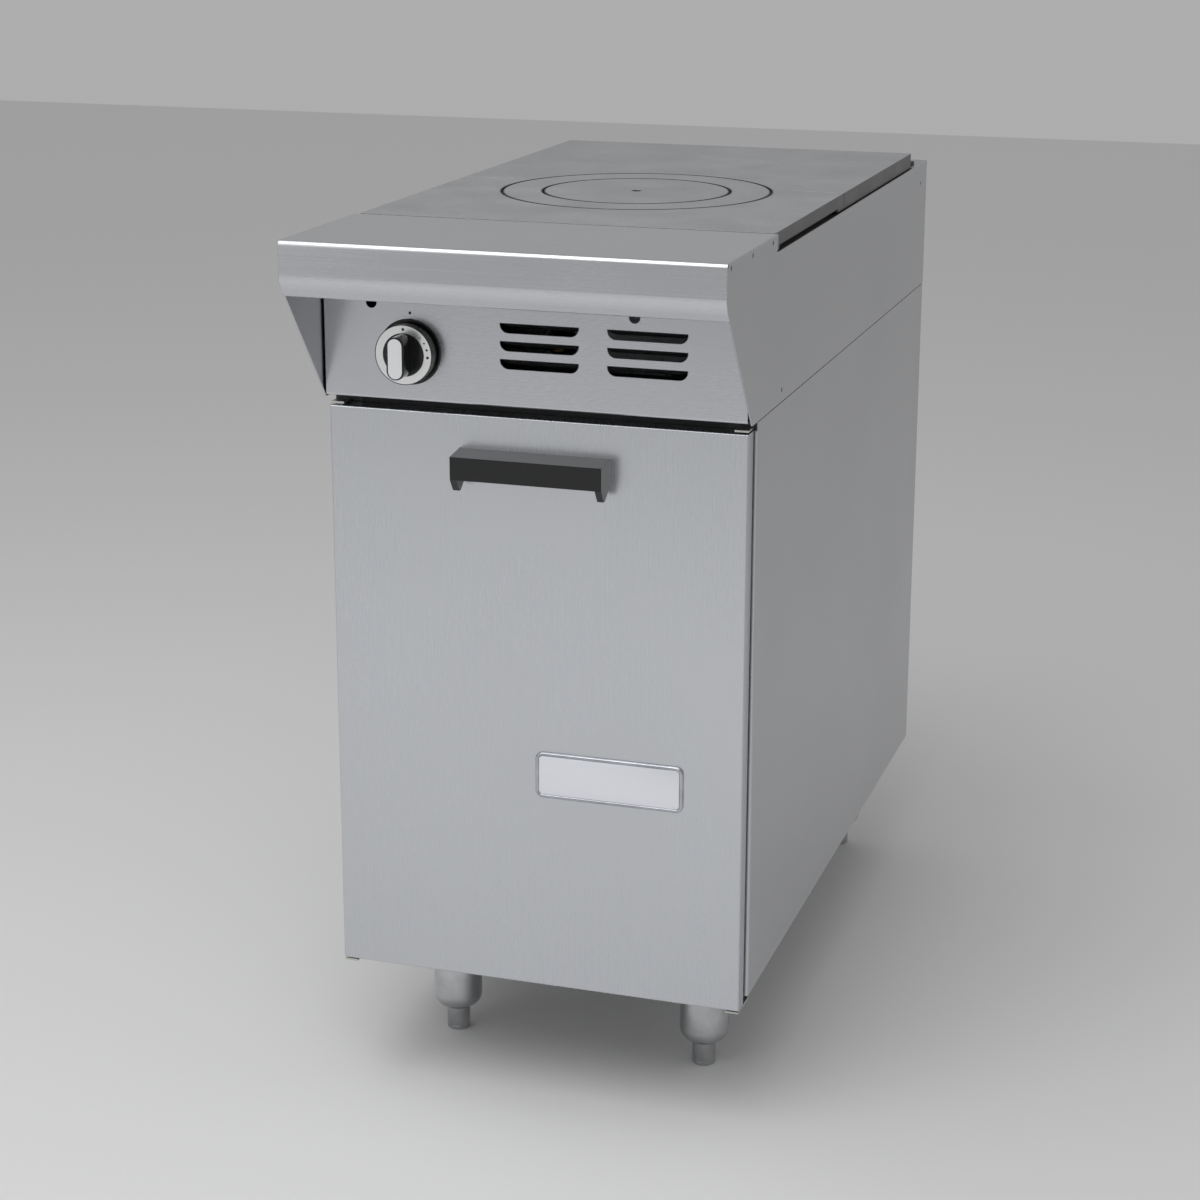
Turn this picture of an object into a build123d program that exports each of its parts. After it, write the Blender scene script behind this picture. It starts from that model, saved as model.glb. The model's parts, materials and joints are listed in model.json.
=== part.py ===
from build123d import *
import os
from math import cos, radians, sin, tan

# Hot plate range section, millimetres. X right, Y back, Z up.
# The origin is on the floor, under the middle of the overall box.

os.makedirs("parts", exist_ok=True)

# ---------------------------------------------------------------- overall sizes
unit_w = 457.2        # over the two side panels
body_d = 992.0        # front rail face to the rear flanges
cook_h = 950.0        # floor to the cooking surface
leg_h = 148.0         # floor to the underside of the base frame
stub_out = 20.0       # gas connection beyond the rear flanges

# ---------------------------------------------------------------- sheet gauges and gaps
side_t = 1.5          # side panels and backs
rail_t = 2.0          # front rail
panel_t = 1.5         # valve panel
liner_t = 1.2         # cabinet lining, door pans, flue
frame_t = 3.0         # welded frames
sheet_bend = 2.5      # outside radius of a common fold
seam_gap = 1.0        # between upper and lower side panels
screw_clear = 0.1     # radial, round a screw shank
run_clear = 0.05      # radial, round a turning spindle or pin
hull_clear = 0.3      # between curved faces on different bodies

# ---------------------------------------------------------------- front of the unit
rail_d = 197.0        # top of the front rail, front to back
rail_corner_r = 5.0   # top front fold
rail_drop = 42.8      # top to the sharp corner above the sloping lip
rail_lip_drop = 57.5  # top to the bottom of the sloping lip
rail_belly_r = 25.0   # fold between the face and the lip
rail_lip_angle = 38.0 # lip and wing, from vertical
rail_return = 14.0    # hem behind the lip
rail_back_flange = 16.0
rail_hem_r = 3.0
rail_tab_h = 16.0     # end tab that the side screws hold
rail_tab_end = 5.0    # back flange to the tab
wing_corner_r = 8.0   # top front corner of each side sheet
panel_set = 100.0     # rail face to the valve panel
panel_drop = 175.0    # top to the bottom of the valve panel
panel_return = 24.0
step_drop = 18.5      # top to the upper edge of the side panels
step_lap = 3.0        # step in the side panels, ahead of the rail's back flange
seam_drop = 178.0     # top to the seam between the side panels

# ---------------------------------------------------------------- louvres and holes in the valve panel
louvre_w = 83.6
louvre_h = 10.2
louvre_end_r = 9.0    # lower corners of each slot
louvre_pitch = 18.45
louvre_rows = 3
louvre_first_drop = 88.5
louvre_x = (8.2, 121.7)
flap_t = 1.0
flap_angle = 52.0     # flap, from the panel's plane
peep_r = 5.8          # round holes half hidden by the rail
peep_x = (-172.6, 108.2)
peep_drop = 75.2

# ---------------------------------------------------------------- knob and valve
knob_x = -131.0
spindle_hole_r = 7.0
knob_drop = 124.0
knob_r = 31.0
knob_skirt_d = 13.0
knob_travel = 3.0
bezel_r = 34.0
bezel_t = 2.0
bezel_edge = 0.8
bezel_gap = 0.5       # left when the knob is pushed in
dial_in_r = 22.3
dial_t = 1.2
dial_rim = 0.8
grip_w = 19.0
grip_h = 44.0
grip_out = 23.0
grip_edge_r = 1.2
insert_w = 15.0
insert_h = 41.0
insert_t = 1.2
spindle_r = 4.0
washer_r = 7.5
washer_t = 1.5
valve_behind = 12.0   # valve panel's face to the valve's nose
valve_l = 48.0
valve_w = 32.0
valve_corner_r = 4.0
nose_r = 11.0
nose_l = 16.0
valve_bore = 30.0
washer_seat = 2.0     # valve's nose to the washer's chamber
washer_play = 0.5
washer_room = 5.5
hub_r = 8.0
hub_grip = 18.0
knob_hollow = 9.0
knob_wall = 3.0
spindle_end = 1.0     # spindle's end to the bottom of the valve's bore

# ---------------------------------------------------------------- door
door_behind = 7.0     # valve panel's face to the door's face
door_t = 19.5
door_edge_r = 1.6
door_gap = 3.5        # door's back to the cabinet face
door_side = 4.1       # side panel face to the door's edge
door_top_drop = 187.0
door_hang = 8.4       # door below the base frame
pin_r = 4.0
pin_l = 14.0
bush_wall = 1.6
bush_side = 0.2       # bush to the door skin's edge wall
bush_back = 0.7       # bush to the door liner
bush_l = 12.0
hinge_t = 2.0
hinge_w = 14.5
hinge_side = 0.5      # door's edge to the plate's edge
hinge_in = 2.0        # door's face to the plate's front
hinge_tail = 20.0     # cabinet face to the lower plate's upturned end
hinge_gap = 1.6       # door's end to the hinge plate
handle_l = 162.0
handle_out = 29.5
handle_h = 24.0
handle_wall = 3.5
handle_cheek = 7.0
handle_tip = 13.0
handle_nib = 4.0
handle_drop = 225.5
handle_rise = 3.5
handle_screw_l = 12.0
plate_w = 161.5       # nameplate
plate_h = 50.5
plate_r = 8.0
plate_t = 3.0
plate_edge = 1.6
plate_x = 81.0
plate_drop = 569.0

# ---------------------------------------------------------------- cooking top
top_side = 3.6        # side panel face to the castings
rear_band = 90.0      # castings' rear edge to the rear flanges
cast_corner_r = 2.0
top_gap = 2.0         # rail to the front casting
seam_set = 316.0      # front edge of the front casting to the joint
cast_gap = 1.0        # between the two castings
front_edge_t = 14.0
rear_edge_t = 18.0
ring_set = 261.0      # front edge of the front casting to the ring's centre
ring_r = 150.0
lid_r = 104.0
groove = 1.5
ledge = 10.0
ring_t = 14.0
lid_t = 7.0
boss_rim = 15.0
boss_drop = 10.0
lift_r = 5.5
rest_h = 20.0         # top to the frame that carries the castings
rest_strip = 12.0
rest_inset = 8.0
corner_pad = 18.0
joint_pad = 28.8
lid_play = 1.0        # radial, lid's foot in the ring
edge_break = 0.6

# ---------------------------------------------------------------- burner box and gas train
box_behind = 18.0     # rail's back flange to the box
box_frame = 6.0       # opening in the plate frame to the outside of the box
box_floor_drop = 165.0
box_t = 1.5
board_t = 18.0        # insulation board inside each side of the box
ear_drop = 9.0        # box floor to the ears that carry it
ear_l = 20.0
ear_rise = 12.0
lead_window = 8.0     # round the pilot tube and the thermocouple lead
board_top_gap = 6.0
bar_gap = 8.5         # insulation board to the end of each burner bar
bar_set = 60.0
bar_w = 12.0
bar_h = 8.0
burner_share = 2 / 3  # burner's radius over the ring's
burner_band = 38.0
port_in = 10.0        # burner's edges to the rows of ports
port_counts = (36, 24)
burner_h = 30.0
burner_wall = 4.0
mixer_r = 17.0
mixer_clear = 1.0
mixer_out = 18.0      # mixer tube in front of the box
shutter_r = 20.0
shutter_l = 12.0
shutter_in = 1.5      # mixer's mouth to the shutter
shutter_lug_w = 8.0
shutter_lug_t = 2.0
shutter_lug_h = 9.0
vent_h = 14.0
vent_l = 7.0
vent_in = 4.0         # mixer's mouth to the air windows
hood_r = 9.0
hood_l = 14.0
spud_r = 5.0
spud_l = 10.0
spud_seat = 4.0
orifice_r = 1.0
tube_r = 4.0
tube_bend_r = 7.0
tube_wall = 1.0
tube_lead = 12.0      # valve's end to the first bend
port_r = 1.6
manifold_behind = 46.0  # valve panel's face to the manifold
manifold_drop = 155.0
pipe_r = 13.35        # three quarter inch pipe
pipe_bore = 10.5
pipe_clear = 1.0      # radial, in the back panel
stub_step = 0.5       # shoulder where the rear connection leaves the back
pipe_gap = 6.65       # box to the pipe beside it
pipe_bend_r = 16.0
pipe_lead = 6.0       # straight pipe between the manifold and the bend
manifold_over = 36.0  # manifold beyond the valve
pipe_plug = 5.0
lead_bend_r = 5.0
inlet_r = 8.0
inlet_seat = 11.5
pilot_gap = 15.0      # burner's edge to the pilot
pilot_set = 30.0      # ring centre to the pilot
pilot_r = 3.0
pilot_start_x = 60.0
pilot_body_r = 6.0
pilot_body_h = 30.0
pilot_edge = 1.5
pilot_foot = 8.0
couple_foot = 5.0
couple_gap = 14.0     # pilot to the thermocouple
couple_r = 2.5
couple_h = 44.0
lead_r = 1.2
lead_drop = 160.5
pilot_turn = 24.0     # box to the pilot tube's bend
lead_turn = 12.0      # box to the thermocouple lead's bend
couple_under = 3.0
lead_port_x = 10.0
lead_port_drop = 11.0
regulator_r = 24.0
regulator_set = 35.0
regulator_port = 27.0
port_boss_r = 16.0
regulator_h = 62.0
regulator_edge_r = 3.0
regulator_cap_r = 9.0
regulator_cap_h = 12.0
flue_in = 18.0        # box side to the flue's side
flue_side = 20.0      # flue's side to its openings
flue_behind = 3.0     # castings' rear edge to the flue
flue_sill = 60.0      # box floor to the flue opening
flue_head = 110.0
grate_in = 3.0        # castings' edge to the grate's end
grate_t = 4.5
grate_pitch = 14.0
grate_slot_w = 7.0
grate_w = 35.0
grate_edge = 6.0
frame_bar_t = 4.0     # frame under the castings
frame_leg = 30.0
frame_open_gap = 5.5  # round the rim under the ring
frame_open_front = 10.0
frame_open_back = 18.0

# ---------------------------------------------------------------- base, legs and fasteners
base_h = 30.0
base_flange = 32.0
base_corner_r = 1.5
leg_in = 81.1         # side panel face to the legs
leg_front_set = 255.0 # rail face to the front legs
leg_rear_in = 47.0    # rear flanges to the rear legs
leg_r = 27.5
leg_shoulder_z = 44.0
leg_mouth_z = 27.0
leg_mouth_r = 14.5
leg_mouth_run = (-1, -0.6)
foot_r = 13.2
foot_flat = 12.2      # half across the wrench flats
foot_flat_z = (4.0, 16.0)
foot_edge = 1.0
foot_stem_top = 100.0
foot_stem_r = 8.0
foot_stem_play = 1.0
stud_r = 7.5
stud_l = 18.0
screw_r = 2.0
screw_head_r = 4.2
screw_head_t = 2.2
side_screw_r = 2.6
side_screw_l = 5.0    # inside the side panel
back_screw_l = 6.0
rail_screw_drop = 6.5
rail_screw_front = 14.6
rail_screw_mid = 2.5  # ahead of the rail's middle
rail_screw_back = 20.5
cap_screw_in = 38.0
cap_screw_drop = 43.7
ear_screw_in = 10.3
upper_screw_end = 25.0
lower_screw_end = 50.0
stile_w = 30.0        # folded edge of the lower side panels
rear_flange = 14.0
cabinet_back_in = 32.0
ceiling_gap = 12.0    # seam to the cabinet ceiling
ceiling_lip = 6.0
catch_x = 150.0
catch_w = 35.0
catch_h = 15.0
catch_d = 18.0        # behind the cabinet face
strike_t = 1.0
nut_r = 12.5
nut_h = 8.0
pad_half = 34.0

# ---------------------------------------------------------------- levels and stations worked out from above
half_w = unit_w / 2
inner_x = half_w - side_t
overall_d = body_d + stub_out
y_front = -overall_d / 2
y_rear = y_front + body_d
y_panel = y_front + panel_set
y_door = y_panel + door_behind
y_door_back = y_door + door_t
y_face = y_door_back + door_gap
y_step = y_front + rail_d - step_lap
y_top = y_front + rail_d + top_gap
y_top_end = y_rear - rear_band
y_ring = y_top + ring_set
y_box = y_front + rail_d + box_behind
y_flue = y_top_end + flue_behind
top_w = unit_w - 2 * top_side
leg_x = half_w - leg_in
grate_half = top_w / 2 - grate_in
boss_r = ring_r + groove + boss_rim
frame_open_half = boss_r + frame_open_gap
box_half = frame_open_half + box_frame
pipe_x = box_half + pipe_r + pipe_gap
manifold_end_x = pipe_x - pipe_bend_r - pipe_lead
bar_half = box_half - box_t - board_t - bar_gap
ring_burner_r = ring_r * burner_share
ring_burner_in = ring_burner_r - burner_band
pilot_x = ring_burner_r + pilot_gap
couple_x = pilot_x + couple_gap
flue_half = box_half - flue_in
flue_slot_half = flue_half - flue_side
grate_slots = int(2 * flue_slot_half / grate_pitch)
leg_stations = (y_front + leg_front_set, y_rear - leg_rear_in)
z_seam = cook_h - seam_drop
z_step = cook_h - step_drop
z_panel = cook_h - panel_drop
z_knob = cook_h - knob_drop
z_gas = z_knob
z_door_top = cook_h - door_top_drop
z_door = leg_h - door_hang
z_rest = cook_h - rest_h
z_ledge = cook_h - ring_t
z_box = cook_h - box_floor_drop
z_manifold = cook_h - manifold_drop
z_floor_pan = leg_h + base_h
z_ceiling = z_seam - ceiling_gap
stile_x = inner_x - stile_w
y_cabinet_back = y_rear - cabinet_back_in
lip_tan = tan(radians(rail_lip_angle))
lip_end = (rail_lip_drop - rail_drop) * lip_tan
wing_foot = lip_end + (seam_drop - seam_gap / 2 - rail_lip_drop) * lip_tan
y_lip = y_face + side_t - liner_t


# ---------------------------------------------------------------- helpers
def at_height(z):
    """Plane for a sketch seen from above, at height z."""
    return Plane.XY.offset(z)


def at_station(y):
    """Plane for a sketch in X and Z at station y. A negative extrusion goes back."""
    return Plane.XZ.offset(-y)


def at_side(x):
    """Plane for a sketch in Y and Z at x. A positive extrusion goes to +X."""
    return Plane.YZ.offset(x)


def block(xs, ys, zs, mode=Mode.ADD):
    """A box between two limits on each axis."""
    centre = ((xs[0] + xs[1]) / 2, (ys[0] + ys[1]) / 2, (zs[0] + zs[1]) / 2)
    with Locations(centre):
        Box(abs(xs[1] - xs[0]), abs(ys[1] - ys[0]), abs(zs[1] - zs[0]), mode=mode)


def fold(points, thickness, radii, side):
    """Face of a folded sheet's section: a line with rounded corners, thickened to one side."""
    with BuildLine() as section:
        FilletPolyline(*points, radius=radii)
        offset(amount=thickness, side=side)
    make_face(section.edges())


def rod(plane, centre, radius, length, mode=Mode.ADD):
    """A round bar from a plane."""
    with BuildSketch(plane) as disc:
        with Locations(centre):
            Circle(radius)
    extrude(disc.sketch, amount=length, mode=mode)


def save(name, builder):
    """Label a finished piece and write it out."""
    builder.part.label = name
    export_step(builder.part, f"parts/{name}.step")


# ---------------------------------------------------------------- screw stations
side_screw_yz = [
    (y_front + rail_screw_front, cook_h - rail_screw_drop),
    (y_front + rail_d / 2 - rail_screw_mid, cook_h - rail_screw_drop),
    (y_front + rail_d - rail_screw_back, cook_h - rail_screw_drop),
    (y_rear - cap_screw_in, cook_h - cap_screw_drop),
    (y_box + ear_screw_in, z_box),
]
back_screw_x = inner_x - rear_flange / 2
upper_back_z = (z_seam + upper_screw_end, z_step - upper_screw_end)
lower_back_z = (leg_h + lower_screw_end, (leg_h + z_seam) / 2, z_seam - lower_screw_end)
back_screw_xz = [(s * back_screw_x, z) for s in (-1, 1) for z in lower_back_z + upper_back_z]

# ================================================================ base frame
y_base = (y_face + side_t, y_rear - 2 * side_t)
with BuildPart() as base_frame:
    block((-inner_x, inner_x), y_base, (leg_h, leg_h + base_h))
    fillet(edges().filter_by(Axis.Z), base_corner_r)
    block(
        (-inner_x + frame_t, inner_x - frame_t),
        (y_base[0] + frame_t, y_base[1] - frame_t),
        (leg_h + frame_t, leg_h + base_h),
        Mode.SUBTRACT,
    )
    block(
        (-inner_x + base_flange, inner_x - base_flange),
        (y_base[0] + base_flange, y_base[1] - base_flange),
        (leg_h, leg_h + base_h),
        Mode.SUBTRACT,
    )
    span = (-inner_x + frame_t / 2, inner_x - frame_t / 2)
    for y in leg_stations:
        block(span, (y - pad_half, y + pad_half), (leg_h, leg_h + frame_t))
        for edge in (y - pad_half, y + pad_half - frame_t):
            block(span, (edge, edge + frame_t), (leg_h, leg_h + base_h))
        for s in (-1, 1):
            rod(at_height(leg_h), (s * leg_x, y), stud_r + hull_clear, frame_t, Mode.SUBTRACT)
save("base_frame", base_frame)

# ================================================================ lower side panels
for name, s in (("lower_side_left", -1), ("lower_side_right", 1)):
    with BuildPart() as lower_side:
        with BuildSketch(at_height(leg_h)):
            fold(
                [
                    (s * stile_x, y_face),
                    (s * half_w, y_face),
                    (s * half_w, y_rear),
                    (s * (inner_x - rear_flange), y_rear),
                ],
                side_t,
                sheet_bend,
                Side.LEFT if s > 0 else Side.RIGHT,
            )
        extrude(amount=z_seam - seam_gap / 2 - leg_h)
        for x, z in back_screw_xz:
            if x * s > 0 and z < z_seam:
                rod(at_station(y_rear), (x, z), screw_r + screw_clear, side_t, Mode.SUBTRACT)
    save(name, lower_side)


# ================================================================ upper side panels, each with its wing
def side_outline():
    """Edge of an upper side sheet: it sits inside the rail's fold, then runs on as the wing."""
    low = z_seam + seam_gap / 2
    belly_z = cook_h - rail_drop + rail_t * tan(radians(rail_lip_angle / 2))
    with BuildLine() as outline:
        Polyline(
            (y_front + rail_t, cook_h - rail_t),
            (y_step, cook_h - rail_t),
            (y_step, z_step),
            (y_rear, z_step),
            (y_rear, low),
            (y_front + wing_foot, low),
            (y_front + lip_end, cook_h - rail_lip_drop),
            (y_front + lip_end + rail_t / cos(radians(rail_lip_angle)), cook_h - rail_lip_drop),
            (y_front + rail_t, belly_z),
            (y_front + rail_t, cook_h - rail_t),
        )
    make_face(outline.edges())
    front_vertices = vertices().filter_by(lambda v: abs(v.X - y_front - rail_t) < 0.01).sort_by(Axis.Y)
    fillet(front_vertices[-1], wing_corner_r)
    belly = vertices().filter_by(lambda v: abs(v.X - y_front - rail_t) < 0.01).sort_by(Axis.Y)[0]
    fillet(belly, rail_belly_r - rail_t)


for name, s in (("upper_side_left", -1), ("upper_side_right", 1)):
    with BuildPart() as upper_side:
        with BuildSketch(at_side(s * inner_x)):
            side_outline()
        extrude(amount=s * side_t)
        block(
            (s * (inner_x - rear_flange), s * inner_x),
            (y_rear - side_t, y_rear),
            (z_seam + seam_gap / 2, z_step - side_t),
        )
        for y, z in side_screw_yz:
            rod(at_side(s * inner_x), (y, z), side_screw_r + screw_clear, s * side_t, Mode.SUBTRACT)
        for x, z in back_screw_xz:
            if x * s > 0 and z > z_seam:
                rod(at_station(y_rear), (x, z), screw_r + screw_clear, side_t, Mode.SUBTRACT)
    save(name, upper_side)

# ================================================================ front rail
panel_half = inner_x - rail_t
with BuildPart() as front_rail:
    with BuildSketch(at_side(-half_w)):
        fold(
            [
                (y_front + rail_d, cook_h - rail_back_flange),
                (y_front + rail_d, cook_h),
                (y_front, cook_h),
                (y_front, cook_h - rail_drop),
                (y_front + lip_end, cook_h - rail_lip_drop),
                (y_front + lip_end + rail_return, cook_h - rail_lip_drop),
            ],
            rail_t,
            [rail_hem_r, rail_corner_r, rail_belly_r, rail_hem_r],
            Side.LEFT,
        )
    extrude(amount=unit_w)
    for s in (-1, 1):
        with BuildSketch(at_side(s * inner_x)):
            side_outline()
        extrude(amount=s * side_t, mode=Mode.SUBTRACT)
        block(
            (s * panel_half, s * inner_x),
            (y_front + wing_corner_r, y_front + rail_d - rail_t - rail_tab_end),
            (cook_h - rail_tab_h, cook_h - rail_t),
        )
        for y, z in side_screw_yz[:3]:
            rod(at_side(s * panel_half), (y, z), side_screw_r + screw_clear, s * rail_t, Mode.SUBTRACT)
save("front_rail", front_rail)

# ================================================================ valve panel with its louvres
with BuildPart() as valve_panel:
    with BuildSketch(at_side(-panel_half)):
        fold(
            [
                (y_panel + panel_return / 2, cook_h - rail_t),
                (y_panel, cook_h - rail_t),
                (y_panel, z_panel),
                (y_panel + panel_return, z_panel),
            ],
            panel_t,
            sheet_bend,
            Side.LEFT,
        )
    extrude(amount=2 * panel_half)
    for x in louvre_x:
        for row in range(louvre_rows):
            slot_top = cook_h - louvre_first_drop - row * louvre_pitch
            with BuildSketch(at_station(y_panel)):
                with Locations((x, slot_top - louvre_h / 2)):
                    Rectangle(louvre_w, louvre_h)
                fillet(vertices().group_by(Axis.Y)[0], louvre_end_r)
            extrude(amount=-panel_t, mode=Mode.SUBTRACT)
            flap_plane = Plane(
                origin=(x, y_panel + panel_t, slot_top),
                x_dir=(1, 0, 0),
                z_dir=(0, -cos(radians(flap_angle)), -sin(radians(flap_angle))),
            )
            with BuildSketch(flap_plane):
                with Locations((0, (flap_t - louvre_h) / 2)):
                    Rectangle(louvre_w, louvre_h + flap_t)
                fillet(vertices().group_by(Axis.Y)[0], louvre_end_r)
            extrude(amount=-flap_t)
    for x in peep_x:
        rod(at_station(y_panel), (x, cook_h - peep_drop), peep_r, -panel_t, Mode.SUBTRACT)
    rod(at_station(y_panel), (knob_x, z_knob), spindle_hole_r, -panel_t, Mode.SUBTRACT)
save("valve_panel", valve_panel)

# ================================================================ cabinet lining
with BuildPart() as cabinet_floor:
    block((-stile_x, stile_x), (y_lip, y_cabinet_back), (z_floor_pan, z_floor_pan + liner_t))
    block((-stile_x, stile_x), (y_lip, y_lip + liner_t), (leg_h, z_floor_pan))
save("cabinet_floor", cabinet_floor)

for name, s in (("cabinet_liner_left", -1), ("cabinet_liner_right", 1)):
    with BuildPart() as liner:
        block(
            (s * stile_x, s * (stile_x + liner_t)),
            (y_face + side_t, y_cabinet_back),
            (z_floor_pan, z_ceiling + liner_t),
        )
    save(name, liner)

with BuildPart() as cabinet_back:
    block(
        (-stile_x - liner_t, stile_x + liner_t),
        (y_cabinet_back, y_cabinet_back + liner_t),
        (z_floor_pan, z_ceiling + liner_t),
    )
save("cabinet_back", cabinet_back)

with BuildPart() as cabinet_ceiling:
    block((-stile_x, stile_x), (y_lip, y_cabinet_back), (z_ceiling, z_ceiling + liner_t))
    block((-stile_x, stile_x), (y_lip, y_lip + liner_t), (z_ceiling, z_panel + ceiling_lip))
save("cabinet_ceiling", cabinet_ceiling)

# ================================================================ backs
y_back = (y_rear - 2 * side_t, y_rear - side_t)
for name, zs in (
    ("back_panel", (leg_h, z_seam - seam_gap / 2)),
    ("upper_back_panel", (z_seam + seam_gap / 2, z_step)),
):
    with BuildPart() as back:
        half = inner_x - sheet_bend + side_t
        block((-half, half), y_back, zs)
        for x, z in back_screw_xz:
            if zs[0] < z < zs[1]:
                rod(at_station(y_back[1]), (x, z), screw_r + screw_clear, side_t, Mode.SUBTRACT)
        if zs[0] < z_manifold < zs[1]:
            rod(at_station(y_back[1]), (pipe_x, z_manifold), pipe_r + pipe_clear, side_t, Mode.SUBTRACT)
    save(name, back)

# ================================================================ flue
flue_top = z_step - side_t
flue_gap = (z_box + flue_sill, z_box + flue_head)
with BuildPart() as flue_box:
    block((-flue_half, flue_half), (y_flue, y_back[0]), (z_box, flue_top))
    block(
        (-flue_half + liner_t, flue_half - liner_t),
        (y_flue + liner_t, y_back[0] - liner_t),
        (z_box + liner_t, flue_top),
        Mode.SUBTRACT,
    )
    block((-flue_slot_half, flue_slot_half), (y_flue, y_flue + liner_t), flue_gap, Mode.SUBTRACT)
save("flue_box", flue_box)

y_grate = (y_top_end + cast_gap, y_top_end + cast_gap + grate_w)
y_slot = (y_grate[0] + grate_edge, y_grate[1] - grate_edge)
with BuildPart() as flue_cap:
    block((-inner_x, inner_x), (y_grate[0], y_back[0]), (flue_top, z_step))
    block((-flue_slot_half, flue_slot_half), y_slot, (flue_top, z_step), Mode.SUBTRACT)
    for s in (-1, 1):
        cap_tab = (s * (inner_x - side_t), s * inner_x)
        block(cap_tab, (y_grate[0], y_back[0]), (flue_top - 2 * ear_l, flue_top))
        y, z = side_screw_yz[3]
        rod(at_side(s * (inner_x - side_t)), (y, z), side_screw_r + screw_clear, s * side_t, Mode.SUBTRACT)
save("flue_cap", flue_cap)

with BuildPart() as flue_grate:
    block((-grate_half, grate_half), y_grate, (z_step, z_step + grate_t))
    with Locations((0, (y_slot[0] + y_slot[1]) / 2, z_step + grate_t / 2)):
        with GridLocations(grate_pitch, 1, grate_slots, 1):
            Box(grate_slot_w, y_slot[1] - y_slot[0], grate_t, mode=Mode.SUBTRACT)
save("flue_grate", flue_grate)

# ================================================================ frame under the castings
box_top = z_rest - frame_bar_t
with BuildPart() as plate_frame:
    span = (y_front + rail_d, y_top_end)
    frame_open_y = (y_box + frame_open_front, y_top_end - frame_open_back)
    block((-inner_x, inner_x), span, (box_top, z_rest))
    block((-frame_open_half, frame_open_half), frame_open_y, (box_top, z_rest), Mode.SUBTRACT)
    for s in (-1, 1):
        block((s * (inner_x - frame_t), s * inner_x), span, (z_rest - frame_leg, box_top))
save("plate_frame", plate_frame)

# ================================================================ cast top: two halves, ring and lid
y_joint = y_top + seam_set
castings = (
    ("hot_plate_front", y_top, y_joint - cast_gap / 2, front_edge_t),
    ("hot_plate_rear", y_joint + cast_gap / 2, y_top_end, rear_edge_t),
)
for name, y0, y1, edge_t in castings:
    with BuildPart() as casting:
        block((-top_w / 2, top_w / 2), (y0, y1), (cook_h - edge_t, cook_h))
        fillet(edges().filter_by(Axis.Z), cast_corner_r)
        for s in (-1, 1):
            outer = top_w / 2 - rest_inset
            strip = (s * (outer - rest_strip), s * outer)
            block(strip, (y0 + corner_pad, y1 - corner_pad), (z_rest, cook_h - edge_t))
            if edge_t < rear_edge_t:
                for pad in ((y0 + cast_corner_r, y0 + corner_pad), (y1 - joint_pad, y1)):
                    block((strip[0], s * top_w / 2), pad, (cook_h - rear_edge_t, cook_h - edge_t))
        with BuildSketch(at_height(z_ledge - boss_drop)):
            with Locations((0, y_ring)):
                Circle(boss_r)
            with Locations((0, (y0 + y1) / 2)):
                Rectangle(top_w, y1 - y0, mode=Mode.INTERSECT)
        extrude(amount=boss_drop)
        rod(at_height(z_ledge), (0, y_ring), ring_r + groove, ring_t, Mode.SUBTRACT)
        rod(at_height(z_ledge - boss_drop), (0, y_ring), ring_r - ledge, boss_drop, Mode.SUBTRACT)
    save(name, casting)

with BuildPart() as hot_plate_ring:
    rod(at_height(z_ledge), (0, y_ring), ring_r, ring_t)
    rod(at_height(cook_h - lid_t), (0, y_ring), lid_r + groove, lid_t, Mode.SUBTRACT)
    rod(at_height(z_ledge), (0, y_ring), lid_r - ledge, ring_t, Mode.SUBTRACT)
    chamfer(faces().sort_by(Axis.Z)[-1].edges(), edge_break)
save("hot_plate_ring", hot_plate_ring)

with BuildPart() as hot_plate_lid:
    rod(at_height(cook_h - lid_t), (0, y_ring), lid_r, lid_t)
    rod(at_height(z_ledge), (0, y_ring), lid_r - ledge - lid_play, ring_t - lid_t)
    rod(at_height(z_ledge), (0, y_ring), lift_r, ring_t, Mode.SUBTRACT)
    chamfer(faces().sort_by(Axis.Z)[-1].edges(), edge_break)
save("hot_plate_lid", hot_plate_lid)

# ================================================================ burner box and its side boards
z_ear = z_box - ear_drop
bar_top = z_gas - burner_h / 2
with BuildPart() as burner_box:
    block((-box_half, box_half), (y_box, y_flue), (z_box, box_top))
    block(
        (-box_half + box_t, box_half - box_t),
        (y_box + box_t, y_flue - box_t),
        (z_box + box_t, box_top),
        Mode.SUBTRACT,
    )
    block((-flue_slot_half, flue_slot_half), (y_flue - box_t, y_flue), flue_gap, Mode.SUBTRACT)
    rod(at_station(y_box), (0, z_gas), mixer_r + mixer_clear, -box_t, Mode.SUBTRACT)
    block(
        (pilot_x - lead_window, couple_x + lead_window),
        (y_box, y_box + box_t),
        (z_manifold - lead_window, z_manifold + lead_window),
        Mode.SUBTRACT,
    )
    for s in (-1, 1):
        ear_y = (y_box, y_box + ear_l)
        block((s * (box_half - box_t), s * box_half), ear_y, (z_ear, z_box))
        block((s * (box_half - box_t), s * inner_x), ear_y, (z_ear, z_ear + box_t))
        block((s * (inner_x - box_t), s * inner_x), ear_y, (z_ear, z_box + ear_rise))
        y, z = side_screw_yz[4]
        rod(at_side(s * (inner_x - box_t)), (y, z), side_screw_r + screw_clear, s * box_t, Mode.SUBTRACT)
        y = y_ring + s * bar_set
        block((-bar_half, bar_half), (y - bar_w / 2, y + bar_w / 2), (bar_top - bar_h, bar_top))
        for t in (-1, 1):
            block(
                (t * (bar_half - bar_h), t * bar_half),
                (y - bar_w / 2, y + bar_w / 2),
                (z_box + box_t, bar_top - bar_h),
            )
save("burner_box", burner_box)

with BuildPart() as firebox_boards:
    wall = box_half - box_t
    for s in (-1, 1):
        block(
            (s * (wall - board_t), s * wall),
            (y_box + box_t, y_flue - box_t),
            (z_box + box_t, box_top - board_top_gap),
        )
save("firebox_boards", firebox_boards)

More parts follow.
